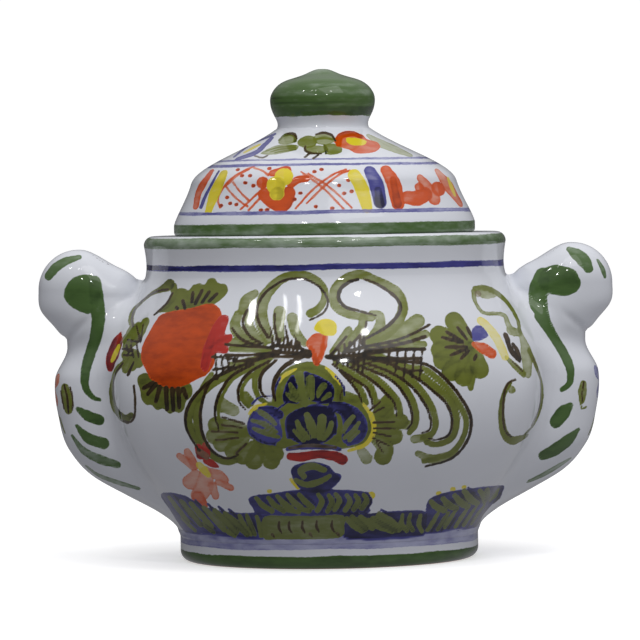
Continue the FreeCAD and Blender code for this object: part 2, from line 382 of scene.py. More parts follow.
POT_WALL = np.concatenate((BOWL_WALL, bezier(COLLAR_WALL, 40)[1:]))
POT_SLOPE = np.gradient(POT_WALL[:, 0], POT_WALL[:, 1])


def wall_radius(height):
    """Radius of the pot's outside at a level."""
    return np.interp(height, POT_WALL[:, 1], POT_WALL[:, 0])


def handle_outline():
    """Levels of the handle below its crown with the inner reach, outer reach and half width of each."""
    rows = []
    for share, proud in TAIL_SLICES:
        level = TAIL_LEVEL + (LOBE_LEVEL - TAIL_LEVEL) * share
        rows.append((level, ROOT, LOBE_PROUD * proud, TAIL_HALF + (LOBE_HALF - TAIL_HALF) * share))
    for share in LOBE_SLICES:
        level = LOBE_LEVEL + (NOTCH_LEVEL - LOBE_LEVEL) * share
        rows.append((level, ROOT, LOBE_PROUD, LOBE_HALF + (NOTCH_HALF - LOBE_HALF) * share ** 2))
    for share, swing in GRIP_SLICES:
        level = NOTCH_LEVEL + (GRIP_LEVEL - NOTCH_LEVEL) * share
        rows.append((level, ROOT * (1 - share), LOBE_PROUD + (GRIP_PROUD - LOBE_PROUD) * swing,
                     NOTCH_HALF + (GRIP_HALF - NOTCH_HALF) * share))
    rows = [(level, wall_radius(level) - root, wall_radius(level) + proud, half)
            for level, root, proud, half in rows]
    rows.append((GRIP_LEVEL, CROWN - GRIP_INNER, CROWN + GRIP_INSET, GRIP_HALF))
    return np.array(rows)


def spline(x, y, at, end_slope=0.0):
    """Smooth curve through points: cubic pieces with slopes from both neighbours, and a slope at the end."""
    slope = np.gradient(y, x)
    slope[-1] = end_slope
    k = np.clip(np.searchsorted(x, at) - 1, 0, len(x) - 2)
    width = x[k + 1] - x[k]
    t = np.clip((at - x[k]) / width, 0.0, 1.0)
    h00 = 2 * t ** 3 - 3 * t ** 2 + 1
    h10 = t ** 3 - 2 * t ** 2 + t
    h01 = 3 * t ** 2 - 2 * t ** 3
    h11 = t ** 3 - t ** 2
    return h00 * y[k] + h10 * width * slope[k] + h01 * y[k + 1] + h11 * width * slope[k + 1]


CROWN = float(wall_radius(GRIP_LEVEL)) + GRIP_PROUD - GRIP_INSET
HANDLE_ROWS = handle_outline()
HANDLE_LEVELS = np.linspace(TAIL_LEVEL, GRIP_LEVEL, 400)
HANDLE_TABLE = np.stack(
    [spline(HANDLE_ROWS[:, 0], HANDLE_ROWS[:, k], HANDLE_LEVELS) for k in (1, 2, 3)], axis=1)


def handle_slice(height):
    """Middle, reach and half width of the handle's level slice, and its rise into the crown as a share."""
    inner, outer, half = (np.interp(height, HANDLE_LEVELS, HANDLE_TABLE[:, k]) for k in range(3))
    rise = np.clip((height - GRIP_LEVEL) / GRIP_RISE, 0.0, None)
    spread = np.sqrt(np.clip(1 - rise ** 2, 0.0, None))
    drift = (GRIP_INNER - GRIP_INSET) / 2
    middle = np.where(height > GRIP_LEVEL, CROWN - drift * spread, (inner + outer) / 2)
    return middle, (outer - inner) / 2, half, rise


def handle_level(p):
    """Zero on the handle's skin, negative inside, for the handle on +X."""
    inward = smooth(CROWN - GRIP_DIP_INWARD[0], CROWN - GRIP_DIP_INWARD[1], p[:, 0])
    upward = smooth(GRIP_LEVEL + GRIP_DIP_UPWARD[0], GRIP_LEVEL + GRIP_DIP_UPWARD[1], p[:, 2])
    height = p[:, 2] + GRIP_DIP * inward * upward
    middle, reach, half, rise = handle_slice(height)
    below = np.clip(TAIL_LEVEL - height, 0.0, None) / TAIL_HALF
    return np.sqrt(((p[:, 0] - middle) / reach) ** 2 + (p[:, 1] / half) ** 2 + rise ** 2 + below ** 2) - 1


def gradient(field, p, step=0.05):
    """Slope of a field at points, by central differences."""
    slope = np.zeros_like(p)
    for axis in range(3):
        shift = np.zeros(3)
        shift[axis] = step
        slope[:, axis] = (field(p + shift) - field(p - shift)) / (2 * step)
    return slope


def handle_gap(p, least_slope=0.012):
    """About the distance to the nearer handle's skin, positive outside."""
    near = p.copy()
    near[:, 0] = np.abs(near[:, 0])
    slope = np.linalg.norm(gradient(handle_level, near), axis=1)
    notch = CROWN + CREASE_OUT
    off = (near[:, 0] - notch) * CREASE_LEAN[0] + (near[:, 2] - NOTCH_LEVEL - CREASE_UP) * CREASE_LEAN[1]
    fade = smooth(notch - CREASE_FADES[0], notch - CREASE_FADES[1], near[:, 0])
    crease = CREASE * np.exp(-(off / CREASE_SPREAD) ** 2) * fade
    return handle_level(near) / np.maximum(slope, least_slope) + crease


def flute_depth(p, depth):
    """Soft flute in the wall on both sides of each lobe."""
    from_side = np.degrees(np.arctan2(np.abs(p[:, 1]), np.abs(p[:, 0])))
    across = np.exp(-((from_side - FLUTE_SIDE) / FLUTE_SPREAD) ** 2)
    across -= BANK_SHARE * np.exp(-((from_side - BANK_SIDE) / BANK_SPREAD) ** 2)
    along = smooth(*FLUTE_GROWS, p[:, 2]) * (1 - smooth(*FLUTE_FADES, p[:, 2]))
    return depth * across * along


def wall_gap(p, flute):
    """Distance to the pot's outside, positive outside."""
    radius = np.hypot(p[:, 0], p[:, 1])
    slope = np.interp(p[:, 2], POT_WALL[:, 1], POT_SLOPE)
    return (radius - wall_radius(p[:, 2]) + flute_depth(p, flute)) / np.sqrt(1 + slope ** 2)


def joined_gap(p, shape):
    """Distance to the glazed skin of the pot and its handles, with a joint that tightens under the collar."""
    wall = wall_gap(p, shape.mm("flute"))
    handle = handle_gap(p)
    fillet = shape.mm("fillet") * (1 - JOINT_LOSS * smooth(*JOINT_TIGHTENS, p[:, 2]))
    fillet *= JOINT_LEAST + (1 - JOINT_LEAST) * smooth(*JOINT_GROWS, p[:, 2])
    share = np.clip(1 - np.abs(wall - handle) / fillet, 0.0, 1.0)
    return np.minimum(wall, handle) - share ** 2 * fillet / 4


def settle(p, field, rounds=7, reach=14.0, stride=4.0, flattest=0.05):
    """Moves points along a field's slope until they lie on its skin, and gives the slope there."""
    start = p.copy()
    p = p.copy()
    for _ in range(rounds):
        slope = gradient(field, p)
        length = np.maximum((slope ** 2).sum(axis=1), flattest)
        p -= slope * np.clip(field(p) / length, -stride, stride)[:, None]
        moved = p - start
        far = np.linalg.norm(moved, axis=1)
        p = start + moved * np.minimum(1.0, reach / np.maximum(far, 1e-6))[:, None]
    slope = gradient(field, p)
    return p, slope / np.maximum(np.linalg.norm(slope, axis=1), 1e-9)[:, None]


class Skin:
    """Points and faces of one piece as it is built, in millimetres, with its paint."""

    def __init__(self):
        self.rows = []
        self.points = []
        self.faces = []
        self.count = 0

    def row(self, points):
        """Adds a closed row of points and joins it to the row before."""
        points = np.atleast_2d(np.array(points, float))
        start = self.count
        self.points.append(points)
        self.count += len(points)
        if self.rows:
            self.join(self.rows[-1], (start, len(points)))
        self.rows.append((start, len(points)))

    def join(self, low, high):
        """Faces between two rows, whose counts are equal or multiples, or of which one is a single point."""
        (a, n), (b, m) = low, high
        if 1 in (n, m):
            pole, ring = (a, range(b, b + m)[::-1]) if n == 1 else (b, range(a, a + n))
            self.faces += [(ring[i - 1], ring[i], pole) for i in range(len(ring))]
            return
        count = min(n, m)
        for j in range(count):
            lower = [a + (j * n // count + i) % n for i in range(n // count + 1)]
            upper = [b + (j * m // count + i) % m for i in range(m // count + 1)]
            self.faces.append((*lower, *upper[::-1]))

    def close(self):
        """Joins the last row to the first, for a ring of closed section."""
        self.join(self.rows[-1], self.rows[0])

    def finish(self):
        """Gathers the points and starts the paint."""
        self.points = np.concatenate(self.points)
        self.outside = np.ones(len(self.points), bool)
        self.edge = {layer: np.full(len(self.points), BARE) for layer in LAYERS}
        self.load = {layer: np.zeros(len(self.points)) for layer in LAYERS}


def circle(radius, height, azimuth):
    """Points of a level circle at the azimuths, measured from the front."""
    x = radius * np.sin(azimuth)
    y = -radius * np.cos(azimuth)
    return np.stack((x, y, np.full(len(azimuth), height)), axis=1)


def even_azimuths(count):
    """Azimuths in even steps once round."""
    return np.arange(count) * 2 * math.pi / count


def turned_skin(outline, count, closed=True, first_pole=None, last_pole=None):
    """A piece turned from an outline of (radius, height) points, with optional poles on the axis."""
    skin = Skin()
    if first_pole is not None:
        skin.row([(0.0, 0.0, first_pole)])
    for radius, height in outline:
        skin.row(circle(radius, height, even_azimuths(count)))
    if last_pole is not None:
        skin.row([(0.0, 0.0, last_pole)])
    if closed:
        skin.close()
    skin.finish()
    return skin


def make_piece(name, skin, body, nodes, materials, normals=None):
    """Makes the mesh of a skin with its paint, lets it ride on its body and stand for its nodes."""
    mesh = bpy.data.meshes.new(name)
    mesh.from_pydata((skin.points * MM).tolist(), [], skin.faces)
    mesh.validate()
    mesh.shade_smooth()
    if normals is None:
        mesh.set_sharp_from_angle(angle=SHARP_ANGLE)
    else:
        mesh.normals_split_custom_set_from_vertices(normals.tolist())
    for layer in LAYERS:
        for kind, values in (("edge", skin.edge), ("load", skin.load)):
            attribute = mesh.attributes.new(f"{layer}_{kind}", "FLOAT", "POINT")
            attribute.data.foreach_set("value", values[layer].astype(np.float32))
    for material in materials:
        mesh.materials.append(material)
    piece = bpy.data.objects.new(name, mesh)
    bpy.context.scene.collection.objects.link(piece)
    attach(piece, body)
    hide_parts(*nodes)
    return piece


def skin_normals(skin):
    """Outward normals at a skin's points."""
    mesh = bpy.data.meshes.new("normals")
    mesh.from_pydata(skin.points.tolist(), [], skin.faces)
    mesh.update()
    normals = np.zeros(len(skin.points) * 3, np.float32)
    mesh.vertex_normals.foreach_get("vector", normals)
    bpy.data.meshes.remove(mesh)
    return normals.reshape(-1, 3).astype(float)


# Brush strokes

Stroke = namedtuple("Stroke", "layer width points load closed")


def stroke(layer, width, *points, load=0.75):
    """One pass of the brush through points. The width is one number, or several spread along the way."""
    return Stroke(layer, np.atleast_1d(np.array(width, float)), np.array(points, float), load, False)


def patch(layer, *points, load=0.75):
    """An area filled with the brush inside a smooth closed outline."""
    return Stroke(layer, np.zeros(1), np.array(points, float), load, True)


def dab(layer, width, point, load=0.8):
    """A touch of the brush."""
    u, v = point
    return stroke(layer, width, (u - 0.2, v), (u + 0.2, v), load=load)


def fan(layer, heart, width, *tips, load=0.75):
    """Strokes that spread from a heart and swell to their tips."""
    return [stroke(layer, (width * 0.45, width * 0.9, width), heart, tip, load=load) for tip in tips]


def beside(points, shift):
    """The same path moved sideways, to the left of its way."""
    points = np.array(points, float)
    way = np.gradient(points, axis=0)
    way /= np.linalg.norm(way, axis=1)[:, None]
    return points + np.stack((-way[:, 1], way[:, 0]), axis=1) * shift


def tendril(*points, shift=1.3, olive=3.8, brown=1.8):
    """A curling stem: an olive stroke with a dark line along one side."""
    return [
        stroke("olive", (olive * 0.7, olive, olive, olive * 0.8), *beside(points, shift), load=0.68),
        stroke("brown", (brown * 0.8, brown, brown, brown * 0.6), *points, load=0.9),
    ]


def comb(count, width, first, last):
    """Olive strokes side by side from a first to a last path, with dark blue in the gaps."""
    first, last = np.array(first, float), np.array(last, float)
    marks = []
    for k in range(count):
        path = first + (last - first) * k / max(1, count - 1)
        sway = 0.5 * math.sin(2.4 * k + count)
        path = path + np.array((sway, -0.6 * sway))
        marks.append(stroke("vein", (width * 0.8, width * 1.1, width * 0.95), *path,
                            load=0.68 + 0.14 * math.sin(1.7 * k)))
        marks.append(stroke("blue", (width * 0.4, width * 0.75, width * 0.4), *beside(path, width * 0.74),
                            load=1.0))
    return marks


def flowing(points, closed, step=1.2):
    """A smooth path through the points, with the share of the way at each."""
    if len(points) == 2 and not closed:
        path = resampled(points, step)
        return path, np.linspace(0.0, 1.0, len(path))
    count = len(points)
    if closed:
        ring = np.concatenate((points[-1:], points, points[:2]))
    else:
        ring = np.concatenate((2 * points[:1] - points[1:2], points, 2 * points[-1:] - points[-2:-1]))
    spans = count if closed else count - 1
    t = np.linspace(0.0, 1.0, 9)[:-1, None]
    path = []
    for k in range(spans):
        a, b, c, d = ring[k:k + 4]
        bend = (2 * a - 5 * b + 4 * c - d) * t ** 2 + (3 * b - a - 3 * c + d) * t ** 3
        path.append(0.5 * (2 * b + (c - a) * t + bend))
    path.append(ring[spans + 1:spans + 2])
    path = resampled(np.concatenate(path), step)
    return path, np.linspace(0.0, 1.0, len(path))


def plane_of(p):
    """Where the line from the eye through each point meets the upright plane through the axis."""
    reach = EYE[1] / (EYE[1] - p[:, 1])
    return np.stack((p[:, 0] * reach, EYE[2] + (p[:, 2] - EYE[2]) * reach), axis=1)


def inside_outline(points, outline):
    """Which plane points lie inside a closed outline."""
    inside = np.zeros(len(points), bool)
    for (u0, v0), (u1, v1) in zip(outline, np.roll(outline, -1, axis=0)):
        crosses = (v0 > points[:, 1]) != (v1 > points[:, 1])
        at = u0 + (points[:, 1] - v0) * (u1 - u0) / (v1 - v0 if v1 != v0 else 1e-9)
        inside ^= crosses & (points[:, 0] < at)
    return inside


def add_paint(skin, layer, where, depth, load):
    """Adds pigment: depth is the distance inside the edge, and load the thickness, at the points named."""
    skin.edge[layer][where] = np.maximum(skin.edge[layer][where], depth)
    laid = smooth(*PAINT_EDGE, depth) * np.clip(load, 0.0, 1.0)
    before = skin.load[layer][where]
    most, least = np.maximum(before, laid), np.minimum(before, laid)
    skin.load[layer][where] = most + OVERLAP * least * (1 - most)


def lay_strokes(skin, normals, strokes, turn=0.0):
    """Lays strokes on the side of a skin that turns to the front when it is turned about the axis."""
    spin = np.array(Matrix.Rotation(-turn, 3, "Z"))
    points = skin.points @ spin.T
    outward = normals @ spin.T
    toward = EYE - points
    facing = (outward * toward).sum(axis=1) / np.linalg.norm(toward, axis=1)
    seen = np.flatnonzero(skin.outside & (facing > LANDS_FACING))
    around = skin.outside & (facing > REACHES_FACING)
    plane = plane_of(points)
    space = np.stack((plane[:, 0], DEPTH_WEIGHT * points[:, 1], plane[:, 1]), axis=1)
    tree = kdtree.KDTree(len(seen))
    for index in seen:
        tree.insert((plane[index, 0], plane[index, 1], 0.0), index)
    tree.balance()

    def landed(path):
        """Points of a path on the skin, and which of them found it."""
        hits = np.zeros((len(path), 3))
        found = np.zeros(len(path), bool)
        for k, (u, v) in enumerate(path):
            _, index, gap = tree.find((u, v, 0.0))
            if index is None or gap > LANDING_GAP:
                continue
            ray = np.array((u, 0.0, v)) - EYE
            p, n = points[index], outward[index]
            hit = EYE + ray * np.dot(p - EYE, n) / np.dot(ray, n)
            hits[k] = hit if np.linalg.norm(hit - p) < LANDING_SLIP else p
            found[k] = True
        return hits, found

    for mark in strokes:
        path, share = flowing(mark.points, mark.closed)
        half = np.interp(share, np.linspace(0.0, 1.0, len(mark.width)), mark.width) / 2
        hits, found = landed(path)
        spans = np.flatnonzero(found[:-1] & found[1:])
        if not len(spans):
            continue
        margin = half.max() + STROKE_MARGIN
        hits = np.stack((path[:, 0], DEPTH_WEIGHT * hits[:, 1], path[:, 1]), axis=1)
        low = hits[found].min(axis=0) - margin
        high = hits[found].max(axis=0) + margin
        where = np.flatnonzero(around & (space > low).all(axis=1) & (space < high).all(axis=1))
        if not len(where):
            continue
        start, end = hits[spans], hits[spans + 1]
        way = end - start
        length = np.maximum((way ** 2).sum(axis=1), 1e-9)
        depth = np.full(len(where), BARE)
        along = np.zeros(len(where))
        core = np.ones(len(where))
        for s, w, l, h0, h1, s0, s1 in zip(start, way, length, half[spans], half[spans + 1],
                                           share[spans], share[spans + 1]):
            t = np.clip(((space[where] - s) @ w) / l, 0.0, 1.0)
            gap = np.linalg.norm(space[where] - s - t[:, None] * w, axis=1)
            wide = h0 + (h1 - h0) * t
            better = wide - gap > depth
            depth = np.where(better, wide - gap, depth)
            along = np.where(better, s0 + (s1 - s0) * t, along)
            core = np.where(better, gap / np.maximum(wide, FINEST_HALF), core)
        if mark.closed:
            within = inside_outline(plane[where], path) & (facing[where] > 0)
            depth = np.where(within, -depth, depth)
            load = np.full(len(where), mark.load)
        else:
            sides = STROKE_SIDES * np.clip(core, 0, 1) ** 2
            load = mark.load * (STROKE_BODY + sides + STROKE_RUN * (along - 0.5))
        add_paint(skin, mark.layer, where, depth, load)


def ripple(azimuth, *waves):
    """Sum of waves round the axis, each given by its count, its phase and its height."""
    return sum(np.sin(azimuth * count + phase) * height for count, phase, height in waves)


def lay_band(skin, layer, low, high, load, wobble=0.5, phase=0.0, fade=0.0):
    """A line or band brushed round on the wheel between two heights."""
    azimuth = np.arctan2(skin.points[:, 0], -skin.points[:, 1])
    height = skin.points[:, 2]
    below = ripple(azimuth, (3, phase, 0.5), (7, phase * 2.3, 0.3), (13, phase, 0.2))
    above = ripple(azimuth, (2, phase * 1.7, 0.5), (9, phase, 0.3), (17, 1, 0.2))
    depth = np.minimum(height - low - wobble * below, high + wobble * above - height)
    where = np.flatnonzero(skin.outside)
    strength = load * (1 - fade * (0.5 + 0.5 * np.sin(azimuth + phase)))
    add_paint(skin, layer, where, depth[where], strength[where])


def wipe_inside(skin, radius):
    """Takes the paint off the inner side of a turned piece."""
    inner = np.hypot(skin.points[:, 0], skin.points[:, 1]) < radius
    for layer in LAYERS:
        skin.edge[layer][inner] = BARE
        skin.load[layer][inner] = 0.0


# One pass of the brush in each pigment
olive, orange, red, yellow, blue, vein, green, brown = (partial(stroke, layer) for layer in LAYERS)
contour = partial(brown, load=0.88)


# Motifs of the decoration on the pot

def fruit():
    """Orange fruit at the left with a red crest, and the olive leaves above and below it."""
    marks = [
        patch("olive", (-81, 122), (-79, 125), (-75, 129.5), (-73.5, 132.5), (-70, 133.6), (-67, 132.3),
              (-65, 134.8), (-61.5, 135.6), (-59, 135), (-57.3, 137.8), (-54.3, 138.2), (-52.3, 135.6),
              (-48.6, 135), (-47.7, 131.5), (-50, 128.5), (-54, 125.5), (-60, 123), (-70, 121), load=0.68),
        patch("olive", (-92.3, 91), (-93, 87.5), (-91.8, 84), (-91.3, 79.5), (-89, 76.5), (-86, 76),
              (-83.5, 73.6), (-80.3, 74.3), (-77.5, 71.6), (-75, 72.8), (-72.5, 72), (-70.3, 74),
              (-69, 77.8), (-66.3, 80.5), (-66, 84.5), (-69, 87.5), (-80, 89), (-88, 92), load=0.72),
        patch("orange", (-82, 119.5), (-79, 121.3), (-73, 122.6), (-66, 123.6), (-58, 125.6), (-54, 125),
              (-51, 121), (-52, 113), (-54, 101), (-55.5, 95), (-59, 90.5), (-64, 88.3), (-69, 85.8),
              (-75, 84), (-80, 85), (-86, 88.5), (-88.5, 93), (-91, 99), (-90.3, 105), (-88, 110),
              (-85, 115), load=0.74),
        patch("red", (-51, 120), (-48, 119.5), (-47.6, 117), (-49.6, 110.7), (-46, 110.7), (-46.3, 107.3),
              (-48.3, 105.5), (-47.8, 102.8), (-49.3, 100.8), (-54.3, 101), (-56.8, 96.5), (-58.3, 92.5),
              (-60.8, 92.6), (-62, 96.5), (-60, 101.5), (-59.3, 106), (-57, 112), (-54, 117), load=0.56),
        red((3, 5, 4), (-55, 112), (-58.5, 102), (-60, 95), load=0.7),
        red((1.8, 2.4, 1.6), (-47.5, 108.8), (-53, 107), (-57, 104), load=0.72),
    ]
    for path in (((-65, 131), (-65.5, 126.5)), ((-60.5, 132), (-64, 125.5)), ((-57, 131.5), (-60.5, 126.3)),
                 ((-53.3, 130.3), (-57, 126.8)), ((-70, 127.3), (-69, 123.5)),
                 ((-73.2, 124), (-72.6, 123.4))):
        marks.append(brown(2.0, *path, load=0.95))
    for path in (((-85.5, 87), (-90, 84.6)), ((-84, 86.3), (-88, 81.7)), ((-82, 85), (-84, 78)),
                 ((-79, 84.5), (-78.6, 74)), ((-76, 84), (-75.5, 73.5)), ((-73, 84), (-72.5, 75)),
                 ((-70.5, 84), (-69, 79.5))):
        marks.append(brown((2.8, 2.2), *path, load=0.9))
    return marks


def left_sprig():
    """Small leaves, loops and a dark red flower between the fruit and the left handle."""
    marks = [
        olive((2.6, 3.8, 3.6, 2.6, 2.4, 3.4, 6.5), (-94, 113.5), (-95.5, 117.5), (-94, 123), (-90, 127),
              (-85, 131), (-80.5, 133), (-76.5, 135), load=0.78),
        olive((4.4, 3.2, 3, 2.4), (-74.5, 134), (-74, 130), (-77, 125.5), (-81, 122.5)),
        brown((1.7, 1.6, 1.4), (-94.5, 115), (-95, 119), (-93, 124), (-88, 129), (-82, 132.2), (-77, 132.8)),
        brown(1.5, (-75, 131), (-78, 126), (-84, 120.5)),
        *fan("olive", (-92, 108), 5.2, (-88.6, 117), (-92.4, 115), (-96.3, 112.4), (-98.4, 109),
             (-98, 105.6), load=0.62),
        *fan("olive", (-92.8, 102.5), 5.4, (-98.6, 101.5), (-98.4, 94.5), (-95.2, 95.5), (-92, 97),
             load=0.6),
        brown(1.3, (-93, 115.5), (-91, 107), load=0.85),
        brown(1.2, (-89.6, 116), (-90.8, 108), load=0.8),
        brown((2.2, 1.2), (-97.4, 91.5), (-94.6, 97.5), load=0.95),
        red((1, 7.5, 8.4, 5), (-100.7, 112.3), (-102.7, 106), (-105.3, 99), (-106, 95.3), load=0.92),
        yellow((2.6, 3.8, 2.6), (-101.8, 105.3), (-103.4, 101.8), (-105, 98.6), load=0.62),
        olive((2.4, 3.4, 3.2, 3.2, 3.6, 4.6, 5, 2.8), (-98, 98.5), (-103, 94), (-105.2, 87.5), (-105.7, 82),
              (-104.5, 76), (-102, 71.5), (-99, 69.8), (-96, 71.5), load=0.78),
        brown(1.5, (-100, 97), (-104, 91), (-104.6, 83), (-103.5, 76), (-101, 72)),
        brown(1.5, (-101, 69), (-97.5, 67.8), (-94.8, 70.5), (-94.2, 78), (-94.7, 86), load=0.7),
    ]
    for path in (((-100, 104), (-95, 103)), ((-99.5, 101), (-95, 100.5)), ((-97.5, 108.5), (-92, 107.5)),
                 ((-95.8, 106), (-94.5, 100)), ((-93, 106), (-92, 100)), ((-98, 106), (-97, 102))):
        marks.append(brown(1.4, *path, load=0.9))
    return marks


def left_scrolls():
    """Scrolls, fan strokes and curling stems left of the carnation."""
    marks = [
        olive((5.7, 6.8, 6.3, 5.1, 4.1, 4.1, 3.4, 4.6), (-28.3, 108), (-31.5, 117), (-31.7, 122), (-30, 128),
              (-26.5, 132.7), (-21, 137.2), (-14.5, 139.2), (-8.5, 138.5), (-3.5, 135.5), (-0.6, 131.5),
              (-0.8, 126.5), (-3.5, 122.3), (-7.5, 120), load=0.55),
        brown((1.8, 1.7, 1.5, 1.5, 1.1), (-28.5, 108.5), (-33, 116.5), (-33.8, 123), (-30.5, 129.3),
              (-25.5, 133.6), (-19.8, 136.5), (-14, 137.3), (-8.5, 136.3), (-3.5, 133.4), (0, 129),
              (1.2, 125), (-0.5, 121), (-4, 118.4), (-8, 116.8), load=0.9),
        olive((4, 5.7, 4.6), (-34.5, 130.3), (-39, 127), (-41, 122), load=0.5),
        olive((4.6, 6.3, 4.6), (-43, 120), (-44.6, 114.5), (-42, 110), (-35, 105.5), load=0.55),
        olive((4.6, 4.6, 3.4), (-38, 120), (-37.5, 114), (-34, 109), (-30, 106), load=0.5),
        contour((1.5, 2, 1.5), (-46, 113.5), (-43, 109.2), (-38, 106), (-29, 103.5)),
        contour((1.5, 1.8, 1.5), (-38.5, 122.3), (-40.7, 117), (-39.7, 112.5), (-36.5, 108.5), (-31, 105.5)),
        olive((6.3, 5.7, 4.6), (-22.7, 121), (-23.3, 115), (-22.5, 108), load=0.5),
        olive((5.7, 5.2, 3.9), (-16.5, 118), (-15, 111), (-10.5, 105.5), load=0.5),
        contour((1.2, 1.7), (-25, 120.5), (-25, 113), (-23.5, 105)),
        contour((1.1, 1.7), (-27.3, 113), (-26, 104)),
        contour((1.1, 1.7), (-20, 114), (-18.5, 105)),
        contour((1.1, 1.7), (-15.7, 109.5), (-13, 103.5)),
        olive(3.4, (-46.5, 103.2), (-36, 102.7), (-28, 102.3), load=0.6),
        olive(3.4, (-46.5, 107), (-36, 105), load=0.55),
        olive(3, (-47, 95.5), (-36, 98), (-28, 99), load=0.6),
        contour(1.7, (-49.5, 105.5), (-40, 104.5), (-26, 103.5)),
        contour(1.7, (-49.5, 100.4), (-40, 100), (-26, 101)),
        contour((1.5, 2), (-46, 96.8), (-36, 98), (-24, 100)),
        contour(1.8, (-25, 104.5), (-16, 103.6), (-8, 101.3)),
        contour(2.1, (-26, 101.5), (-16, 100.6), (-8, 99.8)),
        contour(1.8, (-26, 99), (-16, 99), (-9, 99.5)),
        contour(1.4, (-56, 99.3), (-44, 98.7)),
        contour(1.4, (-56, 93), (-46, 94.5)),
        dab("brown", 4.0, (-9, 99.8), load=0.88),
        contour((1.8, 2.4, 2.3, 1.5), (-9, 99.5), (-16, 97), (-21.5, 93.6), (-25.2, 88.5), (-26.5, 83),
                (-25.5, 77.5)),
    ]
    for u, top, bottom in ((-23, 108, 101), (-21, 108.5, 101), (-19, 108, 101), (-17, 107, 100.5),
                           (-15, 106.5, 100), (-13, 106, 100), (-54.5, 101, 88), (-51.5, 100, 90),
                           (-48.5, 100, 92), (-46, 99.5, 95)):
        marks.append(contour(1.3, (u, top), (u + 0.6, bottom)))
    marks += tendril((-29, 99), (-37, 96.5), (-46, 93.3), (-54, 89.5), (-61, 84.5), (-66, 79), (-69, 73),
                     (-69.6, 66.5), (-67.3, 60), (-63, 53.5), shift=1.9, brown=2.0)
    marks += tendril((-55, 90), (-59, 84), (-61.6, 76), (-62.3, 69), (-61.3, 61.5), (-57, 53.5), (-50, 49.5),
                     (-44, 51), shift=-1.9, brown=1.9)
    marks += tendril((-36, 95.5), (-46.5, 90), (-51.5, 83.5), (-54.4, 77), (-55, 70.5), (-53.5, 64),
                     shift=1.6, olive=2.0)
    marks += tendril((-28, 97), (-36, 92.8), (-41, 88.3), (-43.5, 83), (-43, 77), (-40, 73.3), shift=1.7,
                     olive=2.2)
    marks += tendril((-25, 97), (-31.3, 91.5), (-33, 86), (-31.8, 81), (-29, 78.5), shift=-2.3, olive=3.2,
                     brown=2.0)
    return marks


